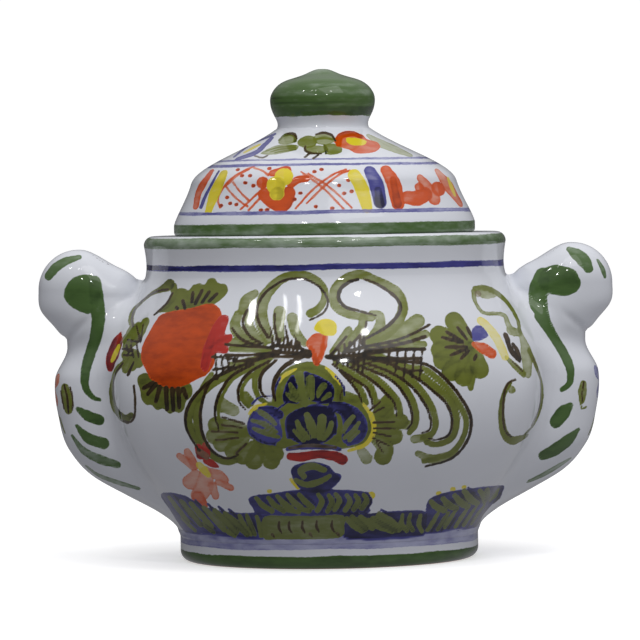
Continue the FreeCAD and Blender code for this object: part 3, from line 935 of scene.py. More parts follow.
def right_scrolls():
    """Scrolls, fan strokes and curling stems right of the carnation."""
    marks = [
        olive((3.9, 4.6, 5.1, 4.6, 4.6, 5.1, 5.7, 6.3), (22.5, 117.3), (16, 118.3), (9.5, 120), (5, 123.3),
              (4, 127.5), (5, 132), (9, 136), (13.5, 138.3), (18.5, 138.6), (24, 136), (30, 133.3),
              (35, 130), (37.5, 125), (37.5, 120), (34, 114), (28, 109), (21, 106), load=0.55),
        brown((1.2, 1.8, 2.1, 1.8), (24.5, 118.7), (17, 120.6), (9.5, 123), (6.3, 127.5), (7.7, 132),
              (11.5, 135), (16, 136.3), load=0.9),
        contour((1.2, 2, 2, 1.5), (19, 136.5), (24.5, 134.3), (30.5, 130.5), (35, 126.5), (36.7, 122),
                (34.7, 117.7), (29.5, 112.7), (20, 107.5)),
        olive((3.4, 5.1, 4.6), (22.5, 119.5), (26.5, 118.5), (26.3, 113.5), (22, 107), load=0.5),
        olive((4.1, 3.4), (11, 111.5), (3, 101), load=0.6),
        contour((1.5, 1.8), (10, 108.5), (1, 98)),
        olive((4.1, 3.4), (16, 111.5), (8, 102), load=0.6),
        contour((1.5, 1.8), (17.3, 109.5), (9, 101)),
        olive((4.6, 3.6), (18.3, 117), (16.5, 109), load=0.55),
        contour((1.2, 1.5), (20, 116), (17.5, 104)),
        olive((7.4, 6.8, 4.6), (45, 115.5), (34, 108.5), (22, 104), load=0.5),
        olive((4.6, 4.1, 3.4), (48.5, 109), (34, 104.3), (20, 101.3), load=0.55),
        olive((3.4, 3.4), (48, 104), (22, 101), load=0.55),
        contour((1.5, 1.8), (51, 113.7), (42, 109), (32, 105.7), (19, 103.3)),
        contour((2, 1.8), (48.5, 107.8), (38, 104.7), (19, 101)),
        contour((1.8, 2), (48.5, 101.7), (35, 101.5), (18, 99.5)),
        contour((1.8, 2), (46, 97), (32, 97.3), (16, 98)),
        contour(2.3, (18, 99.5), (8, 98.5), (0, 98.7)),
        contour(2, (18, 97), (8, 96.3), (2, 98)),
        contour(1.7, (18, 103), (8, 100.3)),
    ]
    for u, top, bottom in ((6.5, 103, 95), (9, 104.5, 94), (11.5, 106, 94), (14, 106.5, 93),
                           (16.5, 107.5, 92), (19, 108, 91), (31, 102, 94), (35, 102, 91), (39, 101.5, 88.5),
                           (43, 101, 88), (47, 101, 88.5)):
        marks.append(contour(1.3, (u, top), (u - 1.2, bottom)))
    marks.append(contour(1.4, (33, 93), (40, 91.5), (47, 91)))
    marks += tendril((20, 98), (33, 96), (47, 94.7), (54, 90.7), (60.3, 84.5), (65.3, 78), (69, 71.5),
                     (70.5, 66), (69.5, 59), (65.5, 52), (59, 47), (47.5, 44), shift=-2.5, olive=3.2,
                     brown=2.0)
    marks += tendril((20, 97), (31, 94.7), (38.5, 91), (46, 86), (52, 81), (57.7, 75.7), (60.5, 70),
                     (61, 64.5), (59, 59), (53, 57), (49, 58), shift=2.2)
    marks += tendril((18, 95.5), (28, 92), (37, 87), (43.5, 81), (48.5, 73.5), (50.7, 66.5), (50, 62),
                     (46, 60.5), shift=2.2)
    marks += tendril((14, 95), (22, 91.5), (29.5, 88), (35, 83.5), (39, 77.5), (41.3, 71), (41.3, 65.5),
                     (38.5, 62), shift=2.0)
    marks += tendril((10, 94), (17, 90), (23.5, 85.5), (29.5, 79.5), (33, 75), (34, 69), shift=1.9)
    marks += tendril((3, 95), (10, 88), (15, 81), (17.5, 75), shift=1.7)
    marks += tendril((7, 92), (14, 87), (19.5, 83), (21.5, 78), (22.5, 74), shift=1.7)
    marks.append(olive((3.4, 5.7, 2.3), (44, 50.5), (51, 47.5), (59, 49), (65, 54.5), load=0.55))
    marks.append(olive((4.6, 3.9), (42.5, 57.5), (49.5, 58.5), load=0.5))
    return marks


def bud():
    """Orange bud with a yellow tip over the carnation."""
    return [
        patch("orange", (-10.1, 105.6), (-6.5, 109.8), (-3, 110.4), (0.8, 109.5), (0.6, 105), (-0.5, 101),
              (-3, 95.6), (-5.8, 94.3), (-7.3, 98), (-8.6, 102), load=0.5),
        orange((2.5, 3), (-7.8, 103), (-4.6, 95.5)),
        orange((1.5, 2.4), (-1, 108.5), (-2.6, 99), load=0.7),
        patch("yellow", (-6.2, 112.5), (-4, 116), (0, 117.4), (4, 116), (5.4, 112.8), (4.5, 109.3),
              (0.5, 108.8), (-3.5, 110.5), load=0.62),
    ]


def carnation():
    """The carnation in the middle: blue petals with olive veins inside olive and yellow edges."""
    return [
        patch("olive", (-25, 78), (-24, 86), (-18, 92), (-10, 95), (-3, 93.5), (3, 89), (7, 83), (8, 78.7),
              (14, 77.5), (19.5, 72), (21.3, 64), (19.5, 58), (14, 54.5), (4, 53), (-10, 53.5), (-22, 54),
              (-33, 56), (-39, 61), (-39.3, 67), (-37, 73), (-31, 76.8), (-26, 77.3), load=0.6),
        olive(4, (-25, 78), (-24, 86), (-18.5, 91.5), (-10, 94.5), (-3, 93), (2.5, 89), (6, 83.5), (6, 78),
              load=0.7),
        yellow((1.6, 2.2, 1.4), (-23.5, 86.5), (-20.5, 90), (-15, 92.8), load=0.45),
        yellow((1.2, 2.2, 1.5), (-0.5, 93.5), (3.5, 89.5), (6.8, 85), load=0.6),
        blue((1, 1.6, 1), (-25.8, 77.5), (-25.6, 83), (-22.5, 89.3), load=1.0),
        blue((1, 1.6, 1), (4.2, 89.3), (8, 84), (8.6, 79.5), load=1.0),
        blue((1, 1.3, 1), (-24.8, 58), (-27.2, 65), (-25.4, 72), (-19, 77), load=1.0),
        blue((1, 1.4, 1), (5.6, 75.4), (8.7, 68), (8, 59.5), load=1.0),
        patch("blue", (-21.5, 77), (-21, 83), (-18.5, 88.5), (-16, 90), (-14.5, 86), (-13, 80), (-14, 76),
              load=0.97),
        patch("blue", (-11.5, 91.5), (-7, 90.5), (-1.5, 88), (3, 84.5), (3.5, 79), (1, 75.8), (-4, 76),
              (-9.5, 78), (-11, 85), load=0.97),
        vein((5, 3.5, 4.5, 5), (-13.5, 89.5), (-12.3, 83), (-11.5, 78.5), (-11, 76.5), load=0.6),
        vein((2, 3.8, 2), (-13.5, 77.5), (-16.5, 82), (-18, 85.5), load=0.8),
        vein((1.5, 2.8, 1.5), (-14.5, 77), (-18, 79), (-20, 81), load=0.8),
        vein((2, 4, 4.2), (-7.5, 78), (-8, 83), (-8, 88)),
        vein((1.5, 3.5, 3.5), (-4.5, 79), (-3.5, 82), (-1.5, 84.5), load=0.8),
        vein((1.5, 3), (-2.5, 77.5), (1, 80), load=0.8),
        blue(1.1, (-37, 76), (-33, 79.3), (-27, 80), load=0.95),
        yellow((1.6, 2.4, 1.4), (-38.5, 71), (-35.5, 74.2), (-30, 76), load=0.45),
        blue((2.5, 4.5, 4.5), (-33, 73.5), (-27.5, 72.8), (-23.5, 70.5), load=0.92),
        patch("blue", (-38.5, 66), (-36, 71.5), (-30, 72.5), (-25, 70), (-22.5, 64), (-23, 58), (-29, 56.5),
              (-35.5, 59.5), load=0.6),
        blue(1.6, (-36, 72), (-38.8, 66), (-37.5, 61), (-32, 57.3), (-26, 56), load=0.85),
        vein((2, 3, 2), (-37, 68), (-31, 66), (-25, 62), load=0.55),
        vein((2, 3.2, 2), (-36.5, 64), (-30, 61.5), (-24, 59.5), load=0.55),
        vein((3, 3, 2), (-33, 72), (-29, 69.5), (-25.5, 66), load=0.5),
        olive((3.5, 3.5, 3.2), (-18, 56), (-23.5, 60), (-25, 66.5), (-23, 72), (-17, 75.5), (-9, 76.7),
              (-1, 76), (4.5, 72.5), (6.8, 66), (6, 60), (2, 56), load=0.62),
        patch("blue", (-20.5, 64), (-19.5, 70), (-14, 73.3), (-6, 75), (1, 73.5), (4.6, 68), (4.2, 62),
              (0.5, 57.5), (-5, 55.7), (-13, 56), (-18.5, 59), load=0.97),
        blue((3, 3.6, 3.6, 3), (-19, 60), (-19, 68), (-13, 72), (-6, 73.5), (0.5, 72), (3.4, 67), (3, 61.5),
             load=1.0),
        vein((3.5, 5, 3), (-9.8, 70), (-8.5, 66), (-6.5, 60), load=0.6),
        vein((4.5, 4.5, 3), (-2.6, 68.5), (-3, 65), (-4, 59), load=0.6),
        vein((2.5, 3.2, 2), (-15, 67), (-13.5, 63.5), (-9.5, 58.5), load=0.7),
        vein((2.5, 3.2, 2), (2, 66), (0.8, 62.5), (-2, 58), load=0.65),
        vein((2, 2.4), (-16.5, 62.5), (-12, 57.8), load=0.7),
        patch("blue", (4, 75), (9, 75.8), (14, 73.5), (18, 68.5), (19, 62.5), (17, 58), (12, 55.5), (7, 57),
              (7.5, 64), (6.5, 70), load=0.8),
        blue((4.5, 7, 5), (3, 74.5), (8.5, 72.5), (12, 67.5), load=1.0),
        blue((1.5, 2.2, 2), (14, 73.2), (17.8, 68.3), (18.6, 62.5), (16, 57.5), (10, 55.5)),
        vein((2.5, 3.2, 2), (12.5, 69), (9.5, 65.5), (7.5, 61.5), load=0.5),
        vein((2, 2.8, 2), (15.5, 66), (12, 61.5), (8, 58.5), load=0.5),
        vein((2, 2.2), (15, 61.5), (10.5, 57.5), load=0.5),
        olive((3, 2.6, 2.4), (12, 77.5), (17, 74.5), (20.2, 69.5), (21, 63.5), (19.5, 58.5), (14.5, 54.5),
              load=0.65),
        yellow((1.5, 2.6, 2.6, 2.4, 1.6), (17.5, 75.5), (21, 70.5), (22.6, 65), (22, 60), (18, 55),
               (10, 52.3), load=0.55),
        olive((6, 4.5), (9.5, 78.7), (14, 77.5), load=0.65),
        brown(1.1, (7.6, 82.5), (6.4, 79), (6.8, 76.5)),
        red((4, 5, 4.2, 5, 5.6), (-18.5, 50), (-13, 49.6), (-5, 50.8), (3, 49.8), (7, 48), load=0.82),
        blue((2, 3.5, 3, 2), (-20, 53.5), (-12, 54.8), (0, 54.3), (6, 53), load=0.8),
        brown((1.5, 2, 1.5), (-19, 54), (-9, 55.2), (4, 54), load=0.5),
    ]


def carnation_leaves():
    """Scalloped olive leaves on both sides of the carnation."""
    marks = fan("olive", (-38, 63), 8, (-55, 66), (-56, 60.5), (-52.5, 56.5), (-47, 53), load=0.5)
    marks += fan("olive", (-33, 57), 9, (-42, 50.5), (-36.5, 48), (-28, 48), (-26, 51.5), load=0.55)
    for path in (((-57, 63), (-44, 62)), ((-55, 58.5), (-44, 59.5)), ((-45, 52), (-40, 56.5)),
                 ((-52, 70), (-41, 66.5)), ((-52, 66), (-42, 64.5))):
        marks.append(brown(1.4, *path, load=0.6))
    marks.append(olive((6, 7), (-46, 73), (-52, 76), load=0.45))
    marks.append(olive((6, 5), (-40.5, 79.5), (-38, 77), load=0.6))
    marks += fan("olive", (22, 67), 8, (30, 76), (29, 71.5), (36, 66.3), (33, 59), load=0.62)
    marks += [
        olive((6, 8, 9), (22, 60), (28, 54), (27, 49.3), load=0.62),
        olive((5, 6), (16.5, 52), (18.8, 48.3), load=0.4),
        olive((3, 5), (35, 64), (40, 64.5), load=0.4),
    ]
    for path in (((22.5, 66), (33, 66)), ((22.5, 63.3), (33, 62.7)), ((22.5, 61), (31, 59)),
                 ((22, 58.5), (30, 54.5)), ((24, 56), (27, 51.3)), ((21, 72), (26, 76)),
                 ((23, 71), (28, 73.5))):
        marks.append(brown(1.3, *path))
    return marks


def right_sprig():
    """Broad olive leaf, striped flower and loops between the carnation and the right handle."""
    marks = fan("olive", (71, 103), 10, (63, 115), (55.5, 108.3), (56, 101), (57, 96), (61, 90.5), (67, 88),
                (75, 91.5), load=0.62)
    marks.append(olive((8, 7, 3), (71, 98), (70.5, 88), (70.5, 82), load=0.6))
    for path in (((59, 110), (67, 105)), ((57, 107.3), (67, 104.3)), ((58.5, 102.5), (69, 102.5)),
                 ((61, 98.5), (69, 101.5)), ((66, 96.8), (70, 100.5)), ((72.5, 96), (73.5, 98.5)),
                 ((64.5, 112), (69, 106)), ((69.3, 112), (71.3, 107))):
        marks.append(brown((1.8, 2.2, 1.4), *path, load=0.9))
    marks += [
        patch("blue", (71.5, 111), (75.5, 113), (79.5, 108.5), (78, 106.3), (72, 105), load=0.6),
        orange((3, 6, 5.5), (72.5, 103.6), (77, 101.5), (81, 99), load=0.6),
        yellow((4.5, 5, 4.5), (76, 115), (80, 111.3), (84, 105.5), (87.5, 97.5), load=0.35),
        brown(3.2, (88, 107.8), (89, 105), load=0.8),
        brown((2.5, 3.5, 2), (89, 104), (90.8, 100), (94.5, 95), load=0.9),
        brown((2, 3, 2), (91.5, 103.5), (93.5, 100), (95, 96), load=0.8),
        olive((2, 3.6, 3.4), (88, 97), (92, 93), (96.5, 88.5), load=0.62),
        brown(1.1, (91, 95), (96, 90)),
        olive((3, 7.5, 5), (95.5, 108), (98, 100), (98.5, 89), load=0.36),
        olive((5, 4.5), (90.5, 110), (94.5, 109), load=0.4),
        olive((4, 3.2, 2.2, 2.2, 2, 3), (92, 109), (89.3, 113), (87.6, 117.5), (83, 118.5), (78, 118.7),
              (75, 121.3), (73, 125.5), (72.7, 129.5), load=0.42),
        olive((2.4, 3.2, 3.4, 2.8, 2.6, 2.4), (73, 131), (77, 131.4), (82, 129.8), (87, 126), (91, 121),
              (94, 115), (95, 109.5), load=0.66),
        patch("olive", (73.5, 130), (79, 131), (84.5, 127.5), (80, 125.8), (76, 126.5), load=0.36),
        dab("brown", 3.4, (74.7, 128.3), load=0.25),
        olive((3, 2.6, 2.2, 2.2, 2.2, 1.6), (99.5, 100), (102.5, 93), (105, 85), (105.4, 78), (104, 70.5),
              (100.5, 63), (96, 58.3), load=0.72),
        brown(0.9, (101, 97), (104.2, 88), (104.7, 79), (103.5, 71), (100, 63.5), load=0.5),
        olive((2, 4.5, 4.5, 4, 3.6, 3, 2.6, 2), (98, 58.5), (94.5, 57), (90.5, 56), (87.3, 58.5), (85.8, 63),
              (85.3, 70), (86, 76), (87.8, 81.5), (90, 84.3)),
        brown(1.4, (92.5, 86), (89, 84.3), (87, 80), (86.3, 73), (86.3, 65), (87.5, 60.3), (90, 58)),
        dab("olive", 4.0, (90.6, 81), load=0.5),
    ]
    return marks


def low_flower():
    """Salmon flower with a yellow heart and plum petals at the lower left."""
    return [
        orange((3.5, 5), (-73, 51), (-66, 46), load=0.34),
        orange((4, 5), (-69, 53), (-66, 47), load=0.36),
        orange((5, 8), (-65, 42), (-68, 38), load=0.36),
        orange((6, 10, 8), (-60, 43), (-61, 36), (-64, 31), load=0.36),
        orange((7, 6), (-64, 31), (-62, 27), load=0.5),
        orange((5, 4), (-57, 36), (-55.5, 31), load=0.4),
        orange((5, 6, 4.5), (-57, 42.5), (-52.5, 40.5), (-51, 39), load=0.42),
        orange(3.6, (-54, 38), (-48, 35), load=0.42),
        yellow((3.5, 4.5, 3), (-63.3, 46.5), (-61, 44), (-59, 41.5), load=0.5),
        red((4, 5), (-63.5, 55), (-62.5, 51.5)),
        red((4, 5), (-60, 56), (-60, 51.5), load=0.6),
        red((4, 4, 1.5), (-59.5, 48.5), (-57, 47), (-54, 45.5)),
        brown(3.5, (-63, 53), (-59.5, 50.5), load=0.25),
    ]


def slabs():
    """Blue ground slabs with combed olive strokes over the foot."""
    marks = [
        patch("blue", (-18.5, 43), (-16, 45.8), (-8, 47.3), (0, 45.3), (3, 42), (6, 40.3), (5.6, 37.5),
              (2, 34.3), (-1, 32), (-9, 32), (-13.5, 33.5), (-17, 38), load=0.84),
        blue((3, 5, 4), (-7, 33.5), (0, 35.5), (4.5, 39.5), load=0.6),
        vein((3, 4.2, 3), (-12, 40), (-13.5, 43), (-8, 45.2), (-2, 43), load=0.55),
        vein((2.5, 3.6, 2.5), (-16, 38.3), (-11, 36), (-4, 37.5), (0.5, 40), load=0.6),
        yellow(2.2, (-18.3, 38.6), (-15, 34.5), load=0.6),
        patch("blue", (-39.5, 29), (-37, 31), (-28, 32), (-18, 33.3), (-6, 33.8), (4, 33.5), (12, 33),
              (18, 32), (20, 30), (21, 27), (19.5, 24.5), (20.5, 22), (10, 21.5), (-8, 21), (-33, 21.5),
              (-37.5, 25), load=0.78),
        patch("blue", (-82.5, 32), (-78, 33.3), (-70, 31.3), (-62, 26.5), (-54, 24), (-45, 22.8),
              (-36, 22.3), (-31, 20), (-31.5, 10), (-45, 10.3), (-56, 12), (-68, 13), (-72, 15), (-78, 24.5),
              load=0.74),
        patch("vein", (-32, 20.3), (-20, 20.8), (-6, 20.6), (6.5, 20.8), (7.5, 15), (5.5, 9.8), (-10, 9),
              (-24, 9.3), (-32.5, 10), load=0.55),
        blue((2, 3, 2), (-38, 21.8), (-14, 20.8), (8, 21.3), load=0.8),
        patch("blue", (6, 20.8), (20, 21.5), (34, 22.5), (47, 22), (47.5, 15), (46, 10), (30, 8.8), (9, 9),
              (6.5, 14), load=0.84),
        blue((3, 5, 4), (10, 10.5), (25, 10), (44, 11.5), load=0.6),
        patch("blue", (47.5, 22), (48.5, 27), (52, 29.5), (59, 31.5), (70, 33), (80, 34), (86.5, 33.6),
              (82, 27), (76, 20), (72, 14), (62, 12.7), (50, 11), (46.8, 12), (47.5, 18), load=0.78),
    ]
    for u, v, width in ((-29, 33, 2.4), (20.8, 30.2, 4.0), (54, 30.8, 2.6), (61, 32.6, 2.8),
                        (66.5, 33.6, 2.4)):
        marks.append(dab("yellow", width, (u, v), load=0.55))
    marks += comb(5, 3.0, ((-35, 29.5), (-32, 26), (-27.5, 23)), ((-15, 31.5), (-12, 28), (-8.5, 25)))
    marks += comb(2, 2.6, ((-24, 24.5), (-15, 22.8)), ((-14, 24), (-9, 22.6)))
    marks += comb(6, 2.8, ((-5, 31), (-3.2, 27.5), (-5.5, 23)), ((17.5, 30.6), (19, 27.5), (16.5, 23.5)))
    marks += comb(6, 3.6, ((-78, 30.5), (-74, 25), (-69.5, 19)), ((-50.5, 22.3), (-46, 18), (-40, 12)))
    marks += comb(3, 2.6, ((-72, 20), (-66, 14.5)), ((-52, 15), (-47, 11.8)))
    marks += comb(3, 2.6, ((-44, 21.5), (-42, 17), (-38.5, 12)), ((-36, 21), (-34.5, 16), (-34, 11.5)))
    marks += comb(3, 3.4, ((8.5, 19), (12, 15.8), (16, 13)), ((15, 20), (18, 17.5), (20.5, 14.5)))
    marks += comb(4, 3.0, ((19.5, 18), (25, 14.5), (31, 12.3)), ((25, 21), (30.5, 17.5), (35, 13.5)))
    marks += comb(3, 2.4, ((36, 20.5), (35.5, 16), (38, 12.5)), ((44.5, 20.5), (43.5, 16), (45, 12.5)))
    marks += comb(4, 3.4, ((50.5, 26.5), (53.5, 23.5), (57, 22)), ((67, 31.5), (70, 27.5), (73.5, 25)))
    marks += comb(3, 3.0, ((74, 32), (76, 29), (76.5, 26)), ((82.5, 32.3), (81, 29.5), (79, 27.5)))
    marks += comb(6, 2.6, ((53.5, 20.5), (51, 16.5), (48.5, 12.8)), ((76.5, 24), (73.5, 20), (70.5, 15.5)))
    for u in (-24.5, -19.5, -13, -6, 1.5):
        marks.append(brown((1.2, 1.8, 1), (u, 18), (u - 0.2, 15), (u + 1.2, 12.3)))
    for u in (-28, -9.5, 4):
        marks.append(brown((2, 1), (u, 11.8), (u + 1, 10.3), load=0.5))
    return marks


def handle_marks():
    """Copper green commas and dashes on the handles."""
    return [
        green((3, 6.4, 7, 5), (119.5, 149.6), (124, 146.6), (127.5, 143), (129, 140), load=0.58),
        patch("green", (104, 136), (107, 140), (112, 142), (117, 141.3), (122, 139.5), (124.5, 135.5),
              (125.3, 132), (123, 128.5), (119, 126.7), (114, 126.7), (109, 128), (105, 130), load=0.7),
        green((8, 9.6, 9, 6.6, 5, 5.2, 5.2, 3.8, 2.6), (106.5, 137), (104.3, 130), (104.3, 123),
              (106.5, 115.5), (111.5, 106.5), (116.3, 98.5), (119.3, 91), (119, 84), (115.2, 80.6),
              load=0.7),
        green((1.6, 2.8, 2), (133.6, 143.8), (135.8, 140), (137, 135.8), load=0.5),
        green((3, 7.5, 6.5), (119.3, 73), (115.3, 69), (112, 65), load=0.72),
        green((2, 6, 6.5, 5), (123, 61), (117.5, 55.5), (111, 51), (105.5, 48.5), load=0.72),
        green((1.5, 3, 3, 2), (119, 47), (112, 42.7), (105, 38.8), (98, 35.8), load=0.45),
        green((3, 4.5, 5.5, 5), (-120.5, 149.3), (-127, 147.5), (-132, 144.5), (-135.5, 140.5), load=0.6),
        patch("green", (-127.5, 134.5), (-124, 139), (-119, 140.8), (-113, 140), (-110, 136), (-111, 127),
              (-115.5, 121.5), (-119, 122), (-124, 124.5), (-128, 129), load=0.66),
        green((6.5, 7, 7, 6.5, 6, 6, 4.8, 3.5, 2), (-113, 137), (-112, 128), (-111.5, 119), (-113, 110),
              (-116, 101.5), (-118.3, 93), (-118.5, 86), (-115.5, 81), (-111.5, 79.2)),
        green((2.5, 5.5, 5.5), (-122.3, 75), (-117.5, 71.5), (-112, 69.3)),
        green((2, 5.5, 6), (-123, 66.5), (-117.5, 60.5), (-110, 57.8), load=0.65),
        green((1.5, 4, 5, 4), (-125.5, 62), (-120, 54.5), (-112, 50), (-103.5, 47.3), load=0.55),
        green((1.5, 3, 3, 2), (-119, 47), (-113, 42.3), (-104, 38.7), (-93, 35.3), load=0.45),
        olive((4.5, 6.5, 4.6), (-128.6, 85.5), (-127.6, 79.5), (-127, 74.5), load=0.62),
        brown(1.3, (-128.8, 87), (-127.4, 80), (-127, 73), load=0.85),
        brown(1.1, (-126.2, 86), (-124.8, 80.5), (-125, 74.5), load=0.7),
        brown(1.1, (-130.6, 84), (-129.8, 78.5), (-129, 75), load=0.7),
        olive((3.5, 5, 3.6), (125.8, 83.5), (125.2, 79.5), (125, 75.5), load=0.6),
        brown(1.1, (126, 84.5), (125.2, 79.5), (125, 74.5), load=0.8),
        olive(1.2, (124, 75), (124.8, 71.2), (127, 72), load=0.6),
    ]


def side_sprig(petal):
    """Small flower and leaves on the outer face of each lobe, drawn as seen from the side."""
    marks = fan(petal, (0, 80), 7, (0, 89), (8.5, 84), (6.5, 73.5), (-6.5, 73.5), (-8.5, 84), load=0.4)
    marks += [
        dab("yellow", 5.5, (0, 80), load=0.6),
        olive((2.5, 2), (0, 72), (2, 63), (-1, 53), load=0.6),
        olive((2, 5, 2), (1.5, 66), (8, 63), (12, 57), load=0.6),
        olive((2, 5, 2), (1, 61), (-6, 58), (-10, 52), load=0.6),
        brown(1.2, (0.6, 71), (1.8, 63), (-1, 54)),
    ]
    return marks


POT_MARKS = (fruit, left_sprig, left_scrolls, right_scrolls, bud, carnation, carnation_leaves, right_sprig,
             low_flower, slabs, handle_marks)


def pot_marks():
    """Every stroke on the front of the pot."""
    return [mark for motif in POT_MARKS for mark in motif()]


# Motifs of the decoration on the lid

def lid_leaves():
    """Leaves and a flower on the upper zone of the lid."""
    marks = [
        blue((2, 3.2, 3.6, 2.4), (-43.5, 197.4), (-37.5, 202), (-31.5, 205), (-23.8, 208), load=0.6),
        blue((3, 4, 3.6, 3), (-42, 196.4), (-37.5, 197.6), (-32.5, 199.6), (-29, 202.6), (-25.5, 206),
             load=0.6),
        yellow((2, 3, 2), (-38.5, 199.4), (-34.6, 201.4), (-31.3, 203), load=0.5),
        patch("olive", (-22, 203.5), (-20.5, 206.8), (-16.5, 208.4), (-13.2, 207.6), (-12.9, 205.4),
              (-14.5, 203.6), (-18.5, 202.9), load=0.42),
        olive((1.4, 2.4, 1.8), (-21.5, 205), (-19, 207.4), (-15.5, 208), (-13.4, 206.6), (-13.8, 204.4),
              load=0.85),
        brown((1.2, 2, 1.2), (-17.5, 208.2), (-14.2, 208.1), (-12.9, 205.8), load=0.6),
        patch("olive", (-30.8, 198.6), (-27, 201), (-22, 202.8), (-16, 203), (-12, 202.2), (-13, 200.4),
              (-18, 199), (-25, 198), load=0.38),
        brown(1.3, (-33.5, 197.6), (-30, 196.6), (-27.5, 197.6), load=0.45),
        patch("olive", (-12.8, 203.5), (-11, 206), (-7, 207.2), (-3.4, 206), (-3, 203), (-6, 201.2),
              (-10.5, 201.5), load=0.54),
        patch("olive", (-5, 205.5), (-2.8, 208), (2, 208.3), (5.5, 206.3), (5.6, 204), (2.5, 202.6),
              (-2.5, 202.7), load=0.42),
        olive((1.4, 2, 1.4), (-4, 205.2), (1, 205.9), (4.6, 205), load=0.7),
        brown((1.2, 1.9, 1.2), (-3.5, 207.6), (0.5, 208.4), (4.3, 207.1), (6, 204.3), load=0.65),
        patch("olive", (-9, 200.6), (-6.5, 202), (-1, 202.2), (1, 200.6), (0.5, 198.6), (-4, 198),
              (-8, 198.7), load=0.42),
        brown((1.2, 1.7, 1.2), (-8.7, 202), (-8.9, 200), (-6, 198.5), (-1, 198.2), load=0.6),
        patch("olive", (0.4, 202), (4.5, 203.2), (8.8, 201.6), (9.2, 199), (6, 197.6), (1.4, 198), load=0.5),
        olive((1.4, 2, 1.4), (0.6, 202.2), (1.6, 200), (1.2, 198.2), load=0.9),
        brown(1.4, (-9, 196.6), (-7, 198.2), load=0.7),
        brown(1.4, (-5, 195.8), (-2.5, 197.6), load=0.7),
        patch("orange", (5.8, 205.8), (8.4, 208.3), (13.3, 208.5), (19.2, 207.3), (21.5, 205), (26.9, 203.2),
              (27.8, 200.3), (23.9, 198.2), (16, 198), (13.1, 199.7), (8.3, 201.2), (5.4, 203.4), load=0.5),
        orange((3, 4, 3), (7.5, 202.5), (8.5, 206.5), (14, 207.8), (18.5, 206.3), load=0.8),
        patch("yellow", (11.2, 205.6), (15.2, 205.8), (21, 204.3), (20.5, 202.2), (16.1, 201.8),
              (12.2, 202.9), load=0.6),
        olive((3, 7, 7, 4), (22.5, 206.5), (28, 203), (34.5, 200.2), (42, 197), load=0.3),
        olive(1.4, (24, 206.3), (30, 202.3), (38, 198.8), load=0.25),
    ]
    for drop in (0.0, 1.1, 2.2):
        marks.append(olive((1.2, 1.6, 1.2), (-28 + 2 * drop, 199.9 - drop * 0.4), (-21, 201.7 - drop),
                           (-13.5, 202.2 - drop * 0.8), load=0.72))
    return marks


def lid_band():
    """Lattice, flower and stripes on the band of the lid."""
    marks = [
        orange((4, 5, 3.4), (-62.8, 173.5), (-61, 181), (-55, 190.3), load=0.6),
        blue((2.4, 1.8, 1.4), (-60.3, 173), (-57.5, 179.5), (-51.3, 190.5), load=0.7),
        yellow((4, 6.4, 4.6), (-56.8, 170.7), (-54, 178.5), (-49, 189.2), load=0.7),
        dab("orange", 6.0, (-30, 184.5), load=0.66),
        orange((4, 6), (-25, 189), (-18.5, 190), load=0.66),
        orange((4, 4, 3.6), (-16, 183.3), (-12.5, 185.7), (-8.5, 186), load=0.68),
        orange((7, 8, 9, 7), (-29, 178.5), (-25, 175.5), (-20.5, 174), (-17.3, 179), load=0.66),
        dab("yellow", 9.0, (-19.5, 187.3), load=0.6),
        dab("yellow", 9.0, (-23.5, 183), load=0.7),
        dab("yellow", 7.0, (-23, 179), load=0.85),
        yellow((6.5, 7.2, 5.5), (15, 187.5), (18.5, 181), (21, 171.3), load=0.62),
        blue((6, 7.6, 6.6), (22.7, 189.3), (25.6, 183), (27.5, 174), load=0.66),
        blue((4, 5.5), (26.5, 180), (27.3, 173.5), load=0.95),
        orange((6, 7.8, 6.6), (30.7, 189.5), (34.2, 183), (36.2, 173), load=0.6),
        orange((3.5, 5), (34, 185), (36, 173), load=0.85),
        orange((7, 8, 7), (41, 176), (45.5, 175.6), (50, 177.5), load=0.66),
        dab("orange", 4.6, (46.7, 181), load=0.6),
        orange((4, 5.5, 7), (47.3, 185.5), (51, 181), (54, 175.3), load=0.5),
        dab("orange", 7.5, (56, 180), load=0.62),
        orange((4, 7.5, 4.6), (56, 188.5), (61, 181.5), (66.5, 173), load=0.45),
        yellow((2, 3, 2), (61, 185), (64, 177), load=0.4),
    ]
    for path in (
        ((-51, 172.5), (-52, 176.5), (-50, 181), (-46, 186), (-40, 190), (-34, 192.5)),
        ((-47, 184), (-42, 188.3), (-36.5, 191)), ((-48, 183), (-44.5, 178.5), (-40, 174.5), (-37.5, 173)),
        ((-44.5, 185), (-41, 180), (-36.5, 175.5)), ((-41, 171.5), (-36, 176), (-31, 180.5)),
        ((-37, 171), (-31, 177.3)),
        ((-34, 191.7), (-30, 190.3), (-27, 188)),
        ((-11, 189.5), (0, 181), (9.5, 171)), ((-7.5, 188.5), (3, 181.5), (13.5, 171.5)),
        ((-14, 171.5), (-5, 181), (4, 187.5), (11, 190.3)), ((-8.5, 174), (0, 182), (8, 188), (13, 189.7)),
    ):
        marks.append(orange(1.3, *path, load=0.52))
    for u, v in ((-40, 188), (-36, 188), (-38.5, 184.5), (-34.5, 183), (-47.5, 177.5), (-46, 174.5),
                 (-43, 174), (-50.5, 173.5), (-31, 171), (-28, 171), (-26.5, 191.3), (-42, 191),
                 (-4.5, 189.5), (-1, 190.5), (-11.5, 179), (-14.5, 176), (7.5, 182.5), (12, 185),
                 (13.5, 179.5), (10, 178.5), (-4, 172.3), (4, 171.3)):
        marks.append(dab("orange", 2.0, (u, v), load=0.95))
    return marks


# Finish

def feed(tree, socket, value):
    """Links an output to a socket, or sets a plain value on it."""
    if isinstance(value, bpy.types.NodeSocket):
        tree.links.new(value, socket)
    else:
        socket.default_value = value


